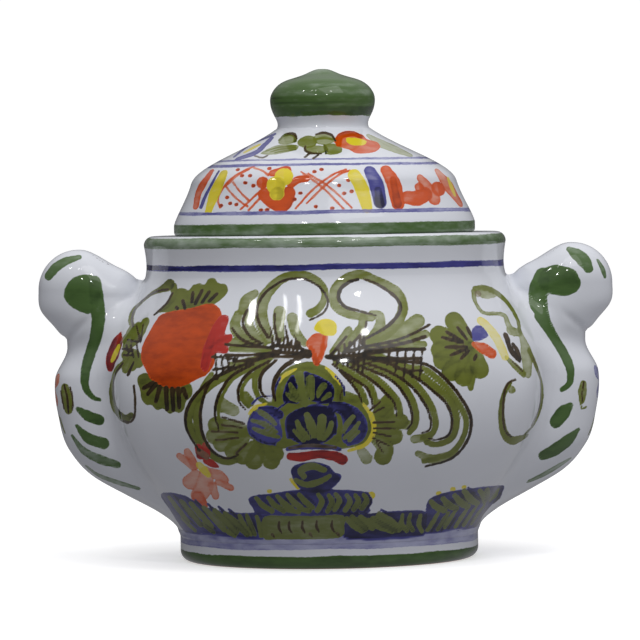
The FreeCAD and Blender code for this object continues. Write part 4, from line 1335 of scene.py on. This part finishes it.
def math_node(tree, operation, *values):
    """Result of a sum on outputs and numbers."""
    node = tree.nodes.new("ShaderNodeMath")
    node.operation = operation
    for socket, value in zip(node.inputs, values):
        feed(tree, socket, value)
    return node.outputs[0]


def blend(tree, factor, first, second):
    """Colour between two, by a factor."""
    node = tree.nodes.new("ShaderNodeMix")
    node.data_type = "RGBA"
    for place, value in ((0, factor), (6, first), (7, second)):
        feed(tree, node.inputs[place], value)
    return node.outputs[2]


def relief(tree, shader, height, strength, distance):
    """Fine relief on a shader, from an output."""
    bump = tree.nodes.new("ShaderNodeBump")
    bump.inputs["Strength"].default_value = strength
    bump.inputs["Distance"].default_value = distance
    tree.links.new(height, bump.inputs["Height"])
    tree.links.new(bump.outputs["Normal"], shader.inputs["Normal"])


def shaded(colour, factor):
    """A colour made darker or lighter, with its alpha."""
    return tuple(min(1.0, c * factor) for c in colour) + (1.0,)


def new_material(name):
    """A material with its node tree and shader."""
    material = bpy.data.materials.new(name)
    material.use_nodes = True
    return material, material.node_tree, material.node_tree.nodes["Principled BSDF"]


def brush_group():
    """Node group for one pigment laid over what is under it."""
    group = bpy.data.node_groups.new("brushed_pigment", "ShaderNodeTree")
    for name in ("Under", *(shade.title() for shade in SHADES)):
        group.interface.new_socket(name, in_out="INPUT", socket_type="NodeSocketColor")
    for name in ("Edge", "Load", "Wobble", "Streak"):
        group.interface.new_socket(name, in_out="INPUT", socket_type="NodeSocketFloat")
    group.interface.new_socket("Color", in_out="OUTPUT", socket_type="NodeSocketColor")
    given = group.nodes.new("NodeGroupInput").outputs
    out = group.nodes.new("NodeGroupOutput")
    calc = partial(math_node, group)

    def ramp(value, low, high):
        """Soft step of an output between two values."""
        node = group.nodes.new("ShaderNodeMapRange")
        node.interpolation_type = "SMOOTHSTEP"
        group.links.new(value, node.inputs["Value"])
        node.inputs["From Min"].default_value = low
        node.inputs["From Max"].default_value = high
        return node.outputs["Result"]

    edge = calc("ADD", given["Edge"], given["Wobble"])
    pool = calc("SUBTRACT", 1.0, ramp(edge, 0.1, 0.9))
    thick = calc("ADD", given["Load"], calc("MULTIPLY", pool, 0.16))
    thick = calc("ADD", thick, given["Streak"])
    body = calc("MULTIPLY_ADD", ramp(thick, 0.15, 0.6), 0.4, 0.6)
    cover = calc("MULTIPLY", ramp(edge, -0.15, 0.25), body)
    colour = blend(group, ramp(thick, 0.05, 0.6), given["Thin"], given["Full"])
    colour = blend(group, ramp(thick, 0.6, 1.0), colour, given["Thick"])
    group.links.new(blend(group, cover, given["Under"], colour), out.inputs["Color"])
    return group


def glaze_material(name, colours, painted):
    """Gloss tin glaze with slow waves, and with every pigment layer where the piece is painted."""
    material, tree, shader = new_material(name)
    place = tree.nodes.new("ShaderNodeTexCoord")

    def noise(scale, detail, upright=1.0):
        """Noise in the piece's own space, drawn out or pressed along its axis."""
        stretch = tree.nodes.new("ShaderNodeMapping")
        stretch.inputs["Scale"].default_value = (1.0, 1.0, upright)
        tree.links.new(place.outputs["Object"], stretch.inputs["Vector"])
        node = tree.nodes.new("ShaderNodeTexNoise")
        node.inputs["Scale"].default_value = scale
        node.inputs["Detail"].default_value = detail
        tree.links.new(stretch.outputs["Vector"], node.inputs["Vector"])
        return node.outputs["Fac"]

    def scaled(value, factor, offset):
        """An output times a factor, moved by an offset."""
        return math_node(tree, "MULTIPLY_ADD", value, factor, offset)

    cloud = scaled(noise(scale=26.0, detail=4.0), factor=1.6, offset=-0.3)
    colour = blend(tree, cloud, shaded(colours.glaze, 0.965), shaded(colours.glaze, 1.03))
    if painted:
        wobble = scaled(noise(scale=420.0, detail=3.0), factor=0.9, offset=-0.45)
        broad = scaled(noise(scale=34.0, detail=2.0, upright=3.0), factor=0.3, offset=-0.15)
        fine = scaled(noise(scale=130.0, detail=3.0, upright=3.0), factor=0.32, offset=-0.16)
        streak = math_node(tree, "ADD", broad, fine)
        group = bpy.data.node_groups.get("brushed_pigment") or brush_group()
        for layer in LAYERS:
            node = tree.nodes.new("ShaderNodeGroup")
            node.node_tree = group
            node.label = layer
            for kind in ("edge", "load"):
                source = tree.nodes.new("ShaderNodeAttribute")
                source.attribute_name = f"{layer}_{kind}"
                tree.links.new(source.outputs["Fac"], node.inputs[kind.title()])
            for shade in SHADES:
                node.inputs[shade.title()].default_value = (*getattr(colours, f"{layer}_{shade}"), 1.0)
            tree.links.new(wobble, node.inputs["Wobble"])
            tree.links.new(streak, node.inputs["Streak"])
            tree.links.new(colour, node.inputs["Under"])
            colour = node.outputs["Color"]
    tree.links.new(colour, shader.inputs["Base Color"])
    shader.inputs["Roughness"].default_value = colours.roughness
    shader.inputs["Specular IOR Level"].default_value = 0.4
    relief(tree, shader, noise(scale=38.0, detail=1.0), strength=colours.waviness, distance=0.004)
    return material


def clay_material(colours):
    """Bare fired clay."""
    material, tree, shader = new_material("bare_clay")
    grain = tree.nodes.new("ShaderNodeTexNoise")
    grain.inputs["Scale"].default_value = 900.0
    grain.inputs["Detail"].default_value = 6.0
    colour = blend(tree, grain.outputs["Fac"], shaded(colours.clay, 0.8), shaded(colours.clay, 1.15))
    tree.links.new(colour, shader.inputs["Base Color"])
    shader.inputs["Roughness"].default_value = 0.85
    relief(tree, shader, grain.outputs["Fac"], strength=0.3, distance=0.0004)
    return material


def finish(name):
    """A finish by name, made once."""
    ready = bpy.data.materials.get(name)
    if ready:
        return ready
    colours = bpy.context.scene.tureen_glaze
    if name == "bare_clay":
        return clay_material(colours)
    return glaze_material(name, colours, painted=name == "painted_glaze")


# Pieces

def bowl_azimuths(shape):
    """Azimuths of the bowl's columns: close on the front, wider on the back and under the handles."""
    front, back = shape.mm("front_step"), shape.mm("back_step")
    azimuth = 0.0
    columns = []
    while azimuth < 2 * math.pi - 1e-6:
        columns.append(azimuth)
        from_front = abs((azimuth + math.pi) % (2 * math.pi) - math.pi)
        from_side = abs(from_front - math.pi / 2)
        step = front if from_front < math.pi / 2 else back
        if from_side < UNDER_HANDLE:
            step = UNDER_HANDLE_STEP
        azimuth += step / BELLY_RADIUS
    count = len(columns) - len(columns) % PLAIN_SHARE
    columns = np.array(columns)
    return np.interp(np.linspace(0, len(columns), count, endpoint=False), np.arange(len(columns)), columns)


def inner_bowl(every=14, round_share=0.8, corner_in=2.5):
    """Outline of the bowl's inside, lip to floor."""
    wall = BOWL_WALL[::every][::-1]
    tangent = np.gradient(wall, axis=0)
    tangent /= np.linalg.norm(tangent, axis=1)[:, None]
    inside = wall + np.stack((tangent[:, 1], -tangent[:, 0]), axis=1) * WALL
    inside[0] = (SHOULDER_RADIUS - WALL, SHOULDER)
    floor = FOOT_TOP + FLOOR
    inside = inside[inside[:, 1] > floor + FLOOR_ROUND * round_share]
    foot = inside[-1]
    corner = (foot[0] - corner_in, floor)
    return np.concatenate((inside, quarter(foot, corner, (corner[0] - FLOOR_ROUND, floor), count=8)[1:]))


class TUREEN_OT_bowl(bpy.types.Operator):
    """Belly of the pot with its flutes, soft joints to the handles and decoration"""

    bl_idname = "tureen.bowl"
    bl_label = "Bowl"

    # Depth inside a handle over which the skin goes back to the plain wall, and heights at the wall's ends
    # over which it stays plain and takes its normals from the mesh
    sunk = 6.0
    plain_end = 3.0
    normal_end = 6.0

    def execute(self, context):
        shape = context.scene.tureen_shape
        azimuth = bowl_azimuths(shape)
        coarse = azimuth[::PLAIN_SHARE]
        skin = Skin()
        skin.row([(0.0, 0.0, FOOT_TOP)])
        for radius in BOTTOM_RADII:
            skin.row(circle(radius, FOOT_TOP, coarse))
        wall = resampled(BOWL_WALL, shape.mm("front_step"))
        for radius, height in wall:
            skin.row(circle(radius, height, azimuth))
        for radius, height in inner_bowl():
            skin.row(circle(radius, height, coarse))
        skin.row([(0.0, 0.0, FOOT_TOP + FLOOR)])
        skin.finish()
        first = 1 + len(BOTTOM_RADII) * len(coarse)
        skin.outside = np.zeros(len(skin.points), bool)
        skin.outside[first:first + len(wall) * len(azimuth)] = True
        outer = np.flatnonzero(skin.outside)
        raw = skin.points[outer]
        settled, slope = settle(raw, partial(joined_gap, shape=shape))
        keep = smooth(-self.sunk, 0.0, handle_gap(raw))
        height = raw[:, 2]
        free = smooth(FOOT_TOP, FOOT_TOP + self.plain_end, height)
        free *= 1 - smooth(SHOULDER - self.plain_end, SHOULDER, height)
        skin.points[outer] = raw + (settled - raw) * keep[:, None] * free[:, None]
        normals = skin_normals(skin)
        share = smooth(FOOT_TOP, FOOT_TOP + self.normal_end, height)[:, None]
        normals[outer] = normals[outer] * (1 - share) + slope * share
        for turn in (0.0, math.pi):
            lay_strokes(skin, normals, pot_marks(), turn)
        lay_band(skin, "blue", **FOOT_WASH)
        make_piece("tureen_bowl", skin, "pot", ("bowl",), (finish("painted_glaze"),),
                   normals)
        return {"FINISHED"}


def level_oval(middle, reach, half, height, around):
    """Points of a level oval, from its outer end."""
    x = middle + reach * np.cos(around)
    y = half * np.sin(around)
    return np.stack((x, y, np.full(len(around), height)), axis=1)


def handle_skin(shape, row_share=0.85, crown_rows=30, sunk=4.0, tuck=2.0, painted_from=-3.0):
    """The handle on +X, wrapped in rows round its level slices, settled on the joined skin, with its normals.

    What lies inside the bowl's wall is tucked just under it.
    """
    around = even_azimuths(HANDLE_COLUMNS)
    skin = Skin()
    skin.row([(float(handle_slice(TAIL_LEVEL)[0]), 0.0, TAIL_LEVEL)])
    for height in np.arange(TAIL_LEVEL, GRIP_LEVEL, shape.mm("handle_step") * row_share):
        middle, reach, half, _ = handle_slice(height)
        skin.row(level_oval(middle, reach, half, height, around))
    for angle in np.linspace(math.pi / 2, 0.0, crown_rows)[:-1]:
        spread = math.sin(angle)
        middle = CROWN - (GRIP_INNER - GRIP_INSET) / 2 * spread
        reach = (GRIP_INNER + GRIP_INSET) / 2 * spread
        height = GRIP_LEVEL + GRIP_RISE * math.cos(angle)
        skin.row(level_oval(middle, reach, GRIP_HALF * spread, height, around))
    skin.row([(CROWN, 0.0, GRIP_LEVEL + GRIP_RISE)])
    skin.finish()
    wall = partial(wall_gap, flute=shape.mm("flute"))
    depth = wall(skin.points)
    keep = smooth(-sunk, 0.0, depth)[:, None]
    settled, normals = settle(skin.points, partial(joined_gap, shape=shape))
    tucked, outward = settle(skin.points, wall, reach=60.0)
    tucked = tucked - outward * tuck
    skin.points = settled * keep + tucked * (1 - keep)
    skin.outside = depth > painted_from
    return skin, normals


class TUREEN_OT_handles(bpy.types.Operator):
    """Both scroll handles with their green marks"""

    bl_idname = "tureen.handles"
    bl_label = "Handles"

    def execute(self, context):
        for node, side, flower in (("right_handle", 1.0, "blue"), ("left_handle", -1.0, "orange")):
            skin, normals = handle_skin(context.scene.tureen_shape)
            if side < 0:
                skin.points[:, 0] *= -1
                normals[:, 0] *= -1
                skin.faces = [face[::-1] for face in skin.faces]
            for turn in (0.0, math.pi):
                lay_strokes(skin, normals, pot_marks(), turn)
            lay_strokes(skin, normals, side_sprig(flower), side * math.pi / 2)
            make_piece(f"tureen_{node}", skin, "pot", (node,),
                       (finish("painted_glaze"),), normals)
        return {"FINISHED"}


class TUREEN_OT_collar(bpy.types.Operator):
    """Upright collar with its lip, the ledge for the lid and the brushed bands"""

    bl_idname = "tureen.collar"
    bl_label = "Rim collar"

    def execute(self, context):
        inside = SHOULDER_RADIUS - WALL
        under = RIM - LEDGE
        lip = (LIP_RADIUS, RIM)
        mouth = (MOUTH_RADIUS, RIM)
        outline = [
            *resampled(bezier(COLLAR_WALL, count=30), RING_STEP),
            *quarter((LIP_RADIUS, RIM - LIP_ROUND), lip, (LIP_RADIUS - LIP_ROUND, RIM), count=9)[1:],
            *quarter((MOUTH_RADIUS + MOUTH_ROUND, RIM), mouth, (MOUTH_RADIUS, RIM - MOUTH_ROUND), count=5),
            (MOUTH_RADIUS, under),
            (inside - HAUNCH, under),
            (inside, under - HAUNCH),
            (inside, SHOULDER),
        ]
        skin = turned_skin(outline, COLLAR_COLUMNS)
        normals = skin_normals(skin)
        for turn in (0.0, math.pi):
            lay_strokes(skin, normals, left_scrolls() + right_scrolls(), turn)
        lay_band(skin, "blue", low=142.4, high=145.4, load=0.9, wobble=0.45, phase=0.4, fade=0.25)
        lay_band(skin, "green", low=153.2, high=RIM - 0.9, load=0.62, wobble=0.4, phase=2.0, fade=0.35)
        wipe_inside(skin, inside + 0.5)
        make_piece("tureen_rim_collar", skin, "pot", ("rim_collar",),
                   (finish("painted_glaze"),))
        return {"FINISHED"}


class TUREEN_OT_foot(bpy.types.Operator):
    """Foot ring with its green band and bare clay where it stands"""

    bl_idname = "tureen.foot"
    bl_label = "Foot ring"

    def execute(self, context):
        inside = FOOT_RADIUS - FOOT_WIDTH
        standing = FOOT_RADIUS - FOOT_ROUND * 1.5
        corner = (FOOT_RADIUS, 0.0)
        outline = [
            *resampled(((inside, FOOT_TOP), (standing, 0.0)), HIDDEN_STEP),
            *quarter((FOOT_RADIUS - FOOT_ROUND, 0.0), corner, (FOOT_RADIUS, FOOT_ROUND), count=9),
            *resampled(((FOOT_RADIUS, FOOT_ROUND), (FOOT_RADIUS, FOOT_TOP)), FOOT_STEP)[1:],
        ]
        skin = turned_skin(outline, FOOT_COLUMNS)
        lay_band(skin, "green", low=-3.0, high=6.3, load=0.72, wobble=0.5, phase=0.7)
        lay_band(skin, "blue", **FOOT_WASH)
        wipe_inside(skin, FOOT_RADIUS - FOOT_ROUND - 0.5)
        piece = make_piece("tureen_foot_ring", skin, "pot", ("foot_ring",),
                           (finish("painted_glaze"), finish("bare_clay")))
        for face in piece.data.polygons:
            if face.normal.z < -0.95:
                face.material_index = 1
        return {"FINISHED"}


class TUREEN_OT_lid(bpy.types.Operator):
    """Domed lid with its bands and motifs, and the flange under it"""

    bl_idname = "tureen.lid"
    bl_label = "Lid"

    def execute(self, context):
        self.dome()
        self.flange()
        return {"FINISHED"}

    def dome(self):
        """The lid with its thick edge, its hollow and its decoration."""
        under = bezier(LID_DOME, count=16)
        tangent = np.gradient(under, axis=0)
        tangent /= np.linalg.norm(tangent, axis=1)[:, None]
        under = (under + np.stack((-tangent[:, 1], tangent[:, 0]), axis=1) * LID_WALL)[::-1]
        low_edge = (LID_RADIUS, RIM + LID_EDGE_ROUND)
        hidden = [*under, (LID_BORE, LID_SHOULDER - LID_BORE_DROP), (LID_BORE, RIM)]
        outline = [
            *hidden,
            *quarter((LID_RADIUS - LID_EDGE_ROUND, RIM), (LID_RADIUS, RIM), low_edge, count=6),
            *resampled((low_edge, (LID_RADIUS, RIM + LID_EDGE)), RING_STEP)[1:],
            *resampled(bezier(LID_SIDE, count=60), LID_STEP)[1:],
            *resampled(bezier(LID_DOME, count=60), LID_STEP)[1:],
        ]
        skin = turned_skin(outline, LID_COLUMNS, closed=False, first_pole=under[0][1], last_pole=KNOB_SEAT)
        skin.outside = np.arange(len(skin.points)) > LID_COLUMNS * len(hidden)
        normals = skin_normals(skin)
        for turn in (0.0, math.pi):
            lay_strokes(skin, normals, lid_leaves() + lid_band(), turn)
        lay_band(skin, "green", low=RIM - 2.0, high=RIM + 5.6, load=0.52, wobble=0.25, phase=1.3)
        lay_band(skin, "blue", low=168.9, high=170.8, load=0.42, wobble=0.35, phase=0.2)
        lay_band(skin, "blue", low=191.9, high=193.3, load=0.42, wobble=0.25, phase=2.2)
        lay_band(skin, "blue", low=194.6, high=195.7, load=0.36, wobble=0.25, phase=3.1)
        make_piece("tureen_lid", skin, "lid", ("lid",), (finish("painted_glaze"),))

    def flange(self):
        """The plain ring that drops into the mouth."""
        corner = (FLANGE_RADIUS, FLANGE_BOTTOM)
        start = (FLANGE_RADIUS - FLANGE_ROUND, FLANGE_BOTTOM)
        ring = [
            (LID_BORE, RIM),
            (LID_BORE, FLANGE_BOTTOM),
            *quarter(start, corner, (FLANGE_RADIUS, FLANGE_BOTTOM + FLANGE_ROUND), count=6),
            (FLANGE_RADIUS, RIM),
        ]
        skin = turned_skin(ring, PLAIN_COLUMNS)
        make_piece("tureen_lid_flange", skin, "lid", ("lid_flange",), (finish("white_glaze"),))


class TUREEN_OT_knob(bpy.types.Operator):
    """Mushroom knob in green over white"""

    bl_idname = "tureen.knob"
    bl_label = "Knob"

    # Darker bands of green: heights above the seat, load and phase. They are brush streaks, and the first and
    # darkest, on the underside below the widest edge, is partly painted shade; the gaps between them stay
    # lighter
    bands = (
        (5.8, 10.4, 0.94, 2.6),
        (11.4, 12.6, 0.76, 5.1),
        (14.2, 15.6, 0.8, 0.4),
        (18.5, 19.6, 0.7, 3.3),
        (21.2, 26.0, 0.7, 1.2),
    )

    def execute(self, context):
        neck = (
            (KNOB_SEAT_RADIUS, KNOB_SEAT),
            (KNOB_SEAT_RADIUS - KNOB_NECK_PULL[0], KNOB_SEAT + KNOB_NECK_PULL[1]),
            (KNOB_RADIUS, KNOB_SEAT + KNOB_FLARE_PULL),
            (KNOB_RADIUS, KNOB_WIDEST),
        )
        crown = (
            (KNOB_RADIUS, KNOB_WIDEST),
            (KNOB_RADIUS, KNOB_WIDEST + KNOB_EDGE_PULL),
            (KNOB_POINT_PULL, KNOB_TOP),
            (0.0, KNOB_TOP),
        )
        rise = bezier(crown, count=80)
        share = rise[:, 0] / KNOB_RADIUS
        rise[:, 1] -= KNOB_DIP * smooth(*KNOB_DIP_FALLS, share) * (1 - smooth(*KNOB_DIP_RISES, share))
        side = resampled(bezier(neck, count=60), FOOT_STEP)
        outline = np.concatenate((side, resampled(rise, RING_STEP)[1:-1]))
        skin = turned_skin(outline, PLAIN_COLUMNS, closed=False, first_pole=KNOB_SEAT, last_pole=KNOB_TOP)
        lay_band(skin, "green", KNOB_SEAT + 5.6, KNOB_TOP + 9.0, load=0.54, wobble=0.35, phase=0.9)
        # The first band darkens the knob's underside below its widest edge, partly as painted shade
        for low, high, load, phase in self.bands:
            lay_band(skin, "green", KNOB_SEAT + low, KNOB_SEAT + high, load, 0.5, phase, fade=0.35)
        make_piece("tureen_lid_knob", skin, "lid", ("lid_knob",), (finish("painted_glaze"),))
        return {"FINISHED"}


class TUREEN_OT_stage(bpy.types.Operator):
    """Pale floor, soft light and the camera"""

    bl_idname = "tureen.stage"
    bl_label = "Stage"

    # Round floor, in metres
    floor_radius = 40.0
    floor_corners = 64

    # Surround: brightness at places on the way from straight down to straight up, and at the left and right
    white = (1.0, 1.0, 1.0, 1.0)
    nadir = (0.42, 0.42, 0.44, 1.0)
    levels = ((0.36, 0.36), (0.5, 0.12), (0.6, 0.15), (0.8, 0.7))
    blueness = 1.05
    sides = (0.62, 1.18)

    # Lamps: name, power, width, length and place, in watts and metres, all turned to one point
    target = Vector((0.0, 0.0, 0.12))
    lamps = (
        ("overhead", 8.0, 1.2, 1.2, (0.5, -0.8, 1.8)),
        ("strip_left", 0.8, 0.06, 0.3, (-0.68, -1.0, 2.1)),
        ("strip_right", 0.8, 0.06, 0.3, (-0.41, -1.05, 2.1)),
        ("lamp_left", 3.0, 0.10, 0.10, (-0.55, -1.9, 1.5)),
        ("lamp_right", 3.0, 0.10, 0.10, (0.35, -1.9, 1.5)),
        ("ceiling_left", 2.0, 0.12, 0.12, (-1.22, -0.68, 2.1)),
        ("ceiling_right", 2.0, 0.12, 0.12, (0.62, -1.23, 2.1)),
    )

    # Camera: width of the sensor in millimetres and the farthest distance seen in metres
    sensor = 36.0
    farthest = 100.0

    def execute(self, context):
        scene = context.scene
        look = scene.tureen_studio
        self.floor(scene, look)
        self.surround(scene, look)
        self.lights(scene)
        self.camera(scene)
        scene.view_settings.view_transform = "Standard"
        return {"FINISHED"}

    def floor(self, scene, look):
        """Wide pale floor that gives no light to the pot."""
        mesh = bpy.data.meshes.new("studio_floor")
        corners = [(self.floor_radius * math.cos(a), self.floor_radius * math.sin(a), 0.0)
                   for a in even_azimuths(self.floor_corners)]
        mesh.from_pydata(corners, [], [tuple(range(self.floor_corners))])
        floor = bpy.data.objects.new("studio_floor", mesh)
        scene.collection.objects.link(floor)
        material, _, shader = new_material("pale_floor")
        shader.inputs["Base Color"].default_value = tuple(look.floor) + (1.0,)
        shader.inputs["Roughness"].default_value = 0.9
        shader.inputs["Specular IOR Level"].default_value = 0.0
        shader.inputs["Emission Color"].default_value = self.white
        shader.inputs["Emission Strength"].default_value = look.floor_glow
        mesh.materials.append(material)
        floor.visible_diffuse = False
        floor.visible_glossy = False

    def surround(self, scene, look):
        """Soft surround, bright above and darker round the pot, and a plain backdrop for the camera."""
        world = bpy.data.worlds.new("studio")
        scene.world = world
        world.use_nodes = True
        nodes, links = world.node_tree.nodes, world.node_tree.links

        def spread(value, low, high):
            """A part of the direction, from -1 to 1, spread between two values."""
            node = nodes.new("ShaderNodeMapRange")
            for name, limit in (("From Min", -1.0), ("From Max", 1.0), ("To Min", low), ("To Max", high)):
                node.inputs[name].default_value = limit
            links.new(value, node.inputs["Value"])
            return node.outputs["Result"]

        place = nodes.new("ShaderNodeTexCoord")
        split = nodes.new("ShaderNodeSeparateXYZ")
        links.new(place.outputs["Generated"], split.inputs[0])
        ramp = nodes.new("ShaderNodeValToRGB")
        for place_up, level in self.levels:
            ramp.color_ramp.elements.new(place_up).color = (level, level, level * self.blueness, 1.0)
        ramp.color_ramp.elements[0].color = self.nadir
        ramp.color_ramp.elements[-1].color = self.white
        links.new(spread(split.outputs["Z"], 0.0, 1.0), ramp.inputs["Fac"])
        background = nodes["Background"]
        links.new(ramp.outputs["Color"], background.inputs["Color"])
        left, right = (look.sky * share for share in self.sides)
        links.new(spread(split.outputs["X"], left, right), background.inputs["Strength"])
        backdrop = nodes.new("ShaderNodeBackground")
        backdrop.inputs["Color"].default_value = self.white
        backdrop.inputs["Strength"].default_value = look.backdrop
        path = nodes.new("ShaderNodeLightPath")
        choose = nodes.new("ShaderNodeMixShader")
        links.new(path.outputs["Is Camera Ray"], choose.inputs[0])
        links.new(background.outputs[0], choose.inputs[1])
        links.new(backdrop.outputs[0], choose.inputs[2])
        links.new(choose.outputs[0], nodes["World Output"].inputs["Surface"])

    def lights(self, scene):
        """A broad soft light, two strips and two small lamps above, and two small lamps in front."""
        for name, power, width, length, place in self.lamps:
            light = bpy.data.lights.new(name, "AREA")
            light.shape = "RECTANGLE"
            light.energy = power
            light.size = width
            light.size_y = length
            lamp = bpy.data.objects.new(name, light)
            lamp.location = place
            lamp.rotation_euler = (self.target - Vector(place)).to_track_quat("-Z", "Y").to_euler()
            scene.collection.objects.link(lamp)

    def camera(self, scene):
        """Camera at the photograph's eye point."""
        data = bpy.data.cameras.new("photo_eye")
        data.sensor_width = self.sensor
        data.lens = FOCAL_PIXELS / PICTURE_PIXELS * data.sensor_width
        data.clip_end = self.farthest
        camera = bpy.data.objects.new("photo_eye", data)
        look = Vector((AIM - EYE) * MM).to_track_quat("-Z", "Y")
        camera.rotation_euler = (look.to_matrix() @ Matrix.Rotation(-ROLL, 3, "Z")).to_euler()
        camera.location = Vector(EYE * MM)
        scene.collection.objects.link(camera)
        scene.camera = camera


# Panel and registration

class TUREEN_PT_panel(bpy.types.Panel):
    """Lists the sizes, the colours and the operators"""

    bl_idname = "TUREEN_PT_panel"
    bl_label = "Painted Tureen"
    bl_space_type = "VIEW_3D"
    bl_region_type = "UI"
    bl_category = "Tureen"

    def draw(self, context):
        for pointer, group in GROUPS:
            for name in group.__annotations__:
                self.layout.prop(getattr(context.scene, pointer), name)
        for operator in OPERATORS:
            self.layout.operator(operator.bl_idname)


GROUPS = (("tureen_glaze", GlazeColours), ("tureen_shape", SkinShape), ("tureen_studio", StudioLook))
OPERATORS = (
    TUREEN_OT_bowl,
    TUREEN_OT_handles,
    TUREEN_OT_collar,
    TUREEN_OT_foot,
    TUREEN_OT_lid,
    TUREEN_OT_knob,
    TUREEN_OT_stage,
)


def register():
    """Adds the properties, the operators and the panel."""
    for pointer, group in GROUPS:
        bpy.utils.register_class(group)
        setattr(bpy.types.Scene, pointer, PointerProperty(type=group))
    for operator in OPERATORS:
        bpy.utils.register_class(operator)
    bpy.utils.register_class(TUREEN_PT_panel)


def unregister():
    """Takes away what register added."""
    bpy.utils.unregister_class(TUREEN_PT_panel)
    for operator in reversed(OPERATORS):
        bpy.utils.unregister_class(operator)
    for pointer, group in reversed(GROUPS):
        delattr(bpy.types.Scene, pointer)
        bpy.utils.unregister_class(group)


def main():
    """Builds the tureen and its stage."""
    register()
    bpy.ops.tureen.bowl()
    bpy.ops.tureen.handles()
    bpy.ops.tureen.collar()
    bpy.ops.tureen.foot()
    bpy.ops.tureen.lid()
    bpy.ops.tureen.knob()
    bpy.ops.tureen.stage()


if __name__ == "__main__":
    main()
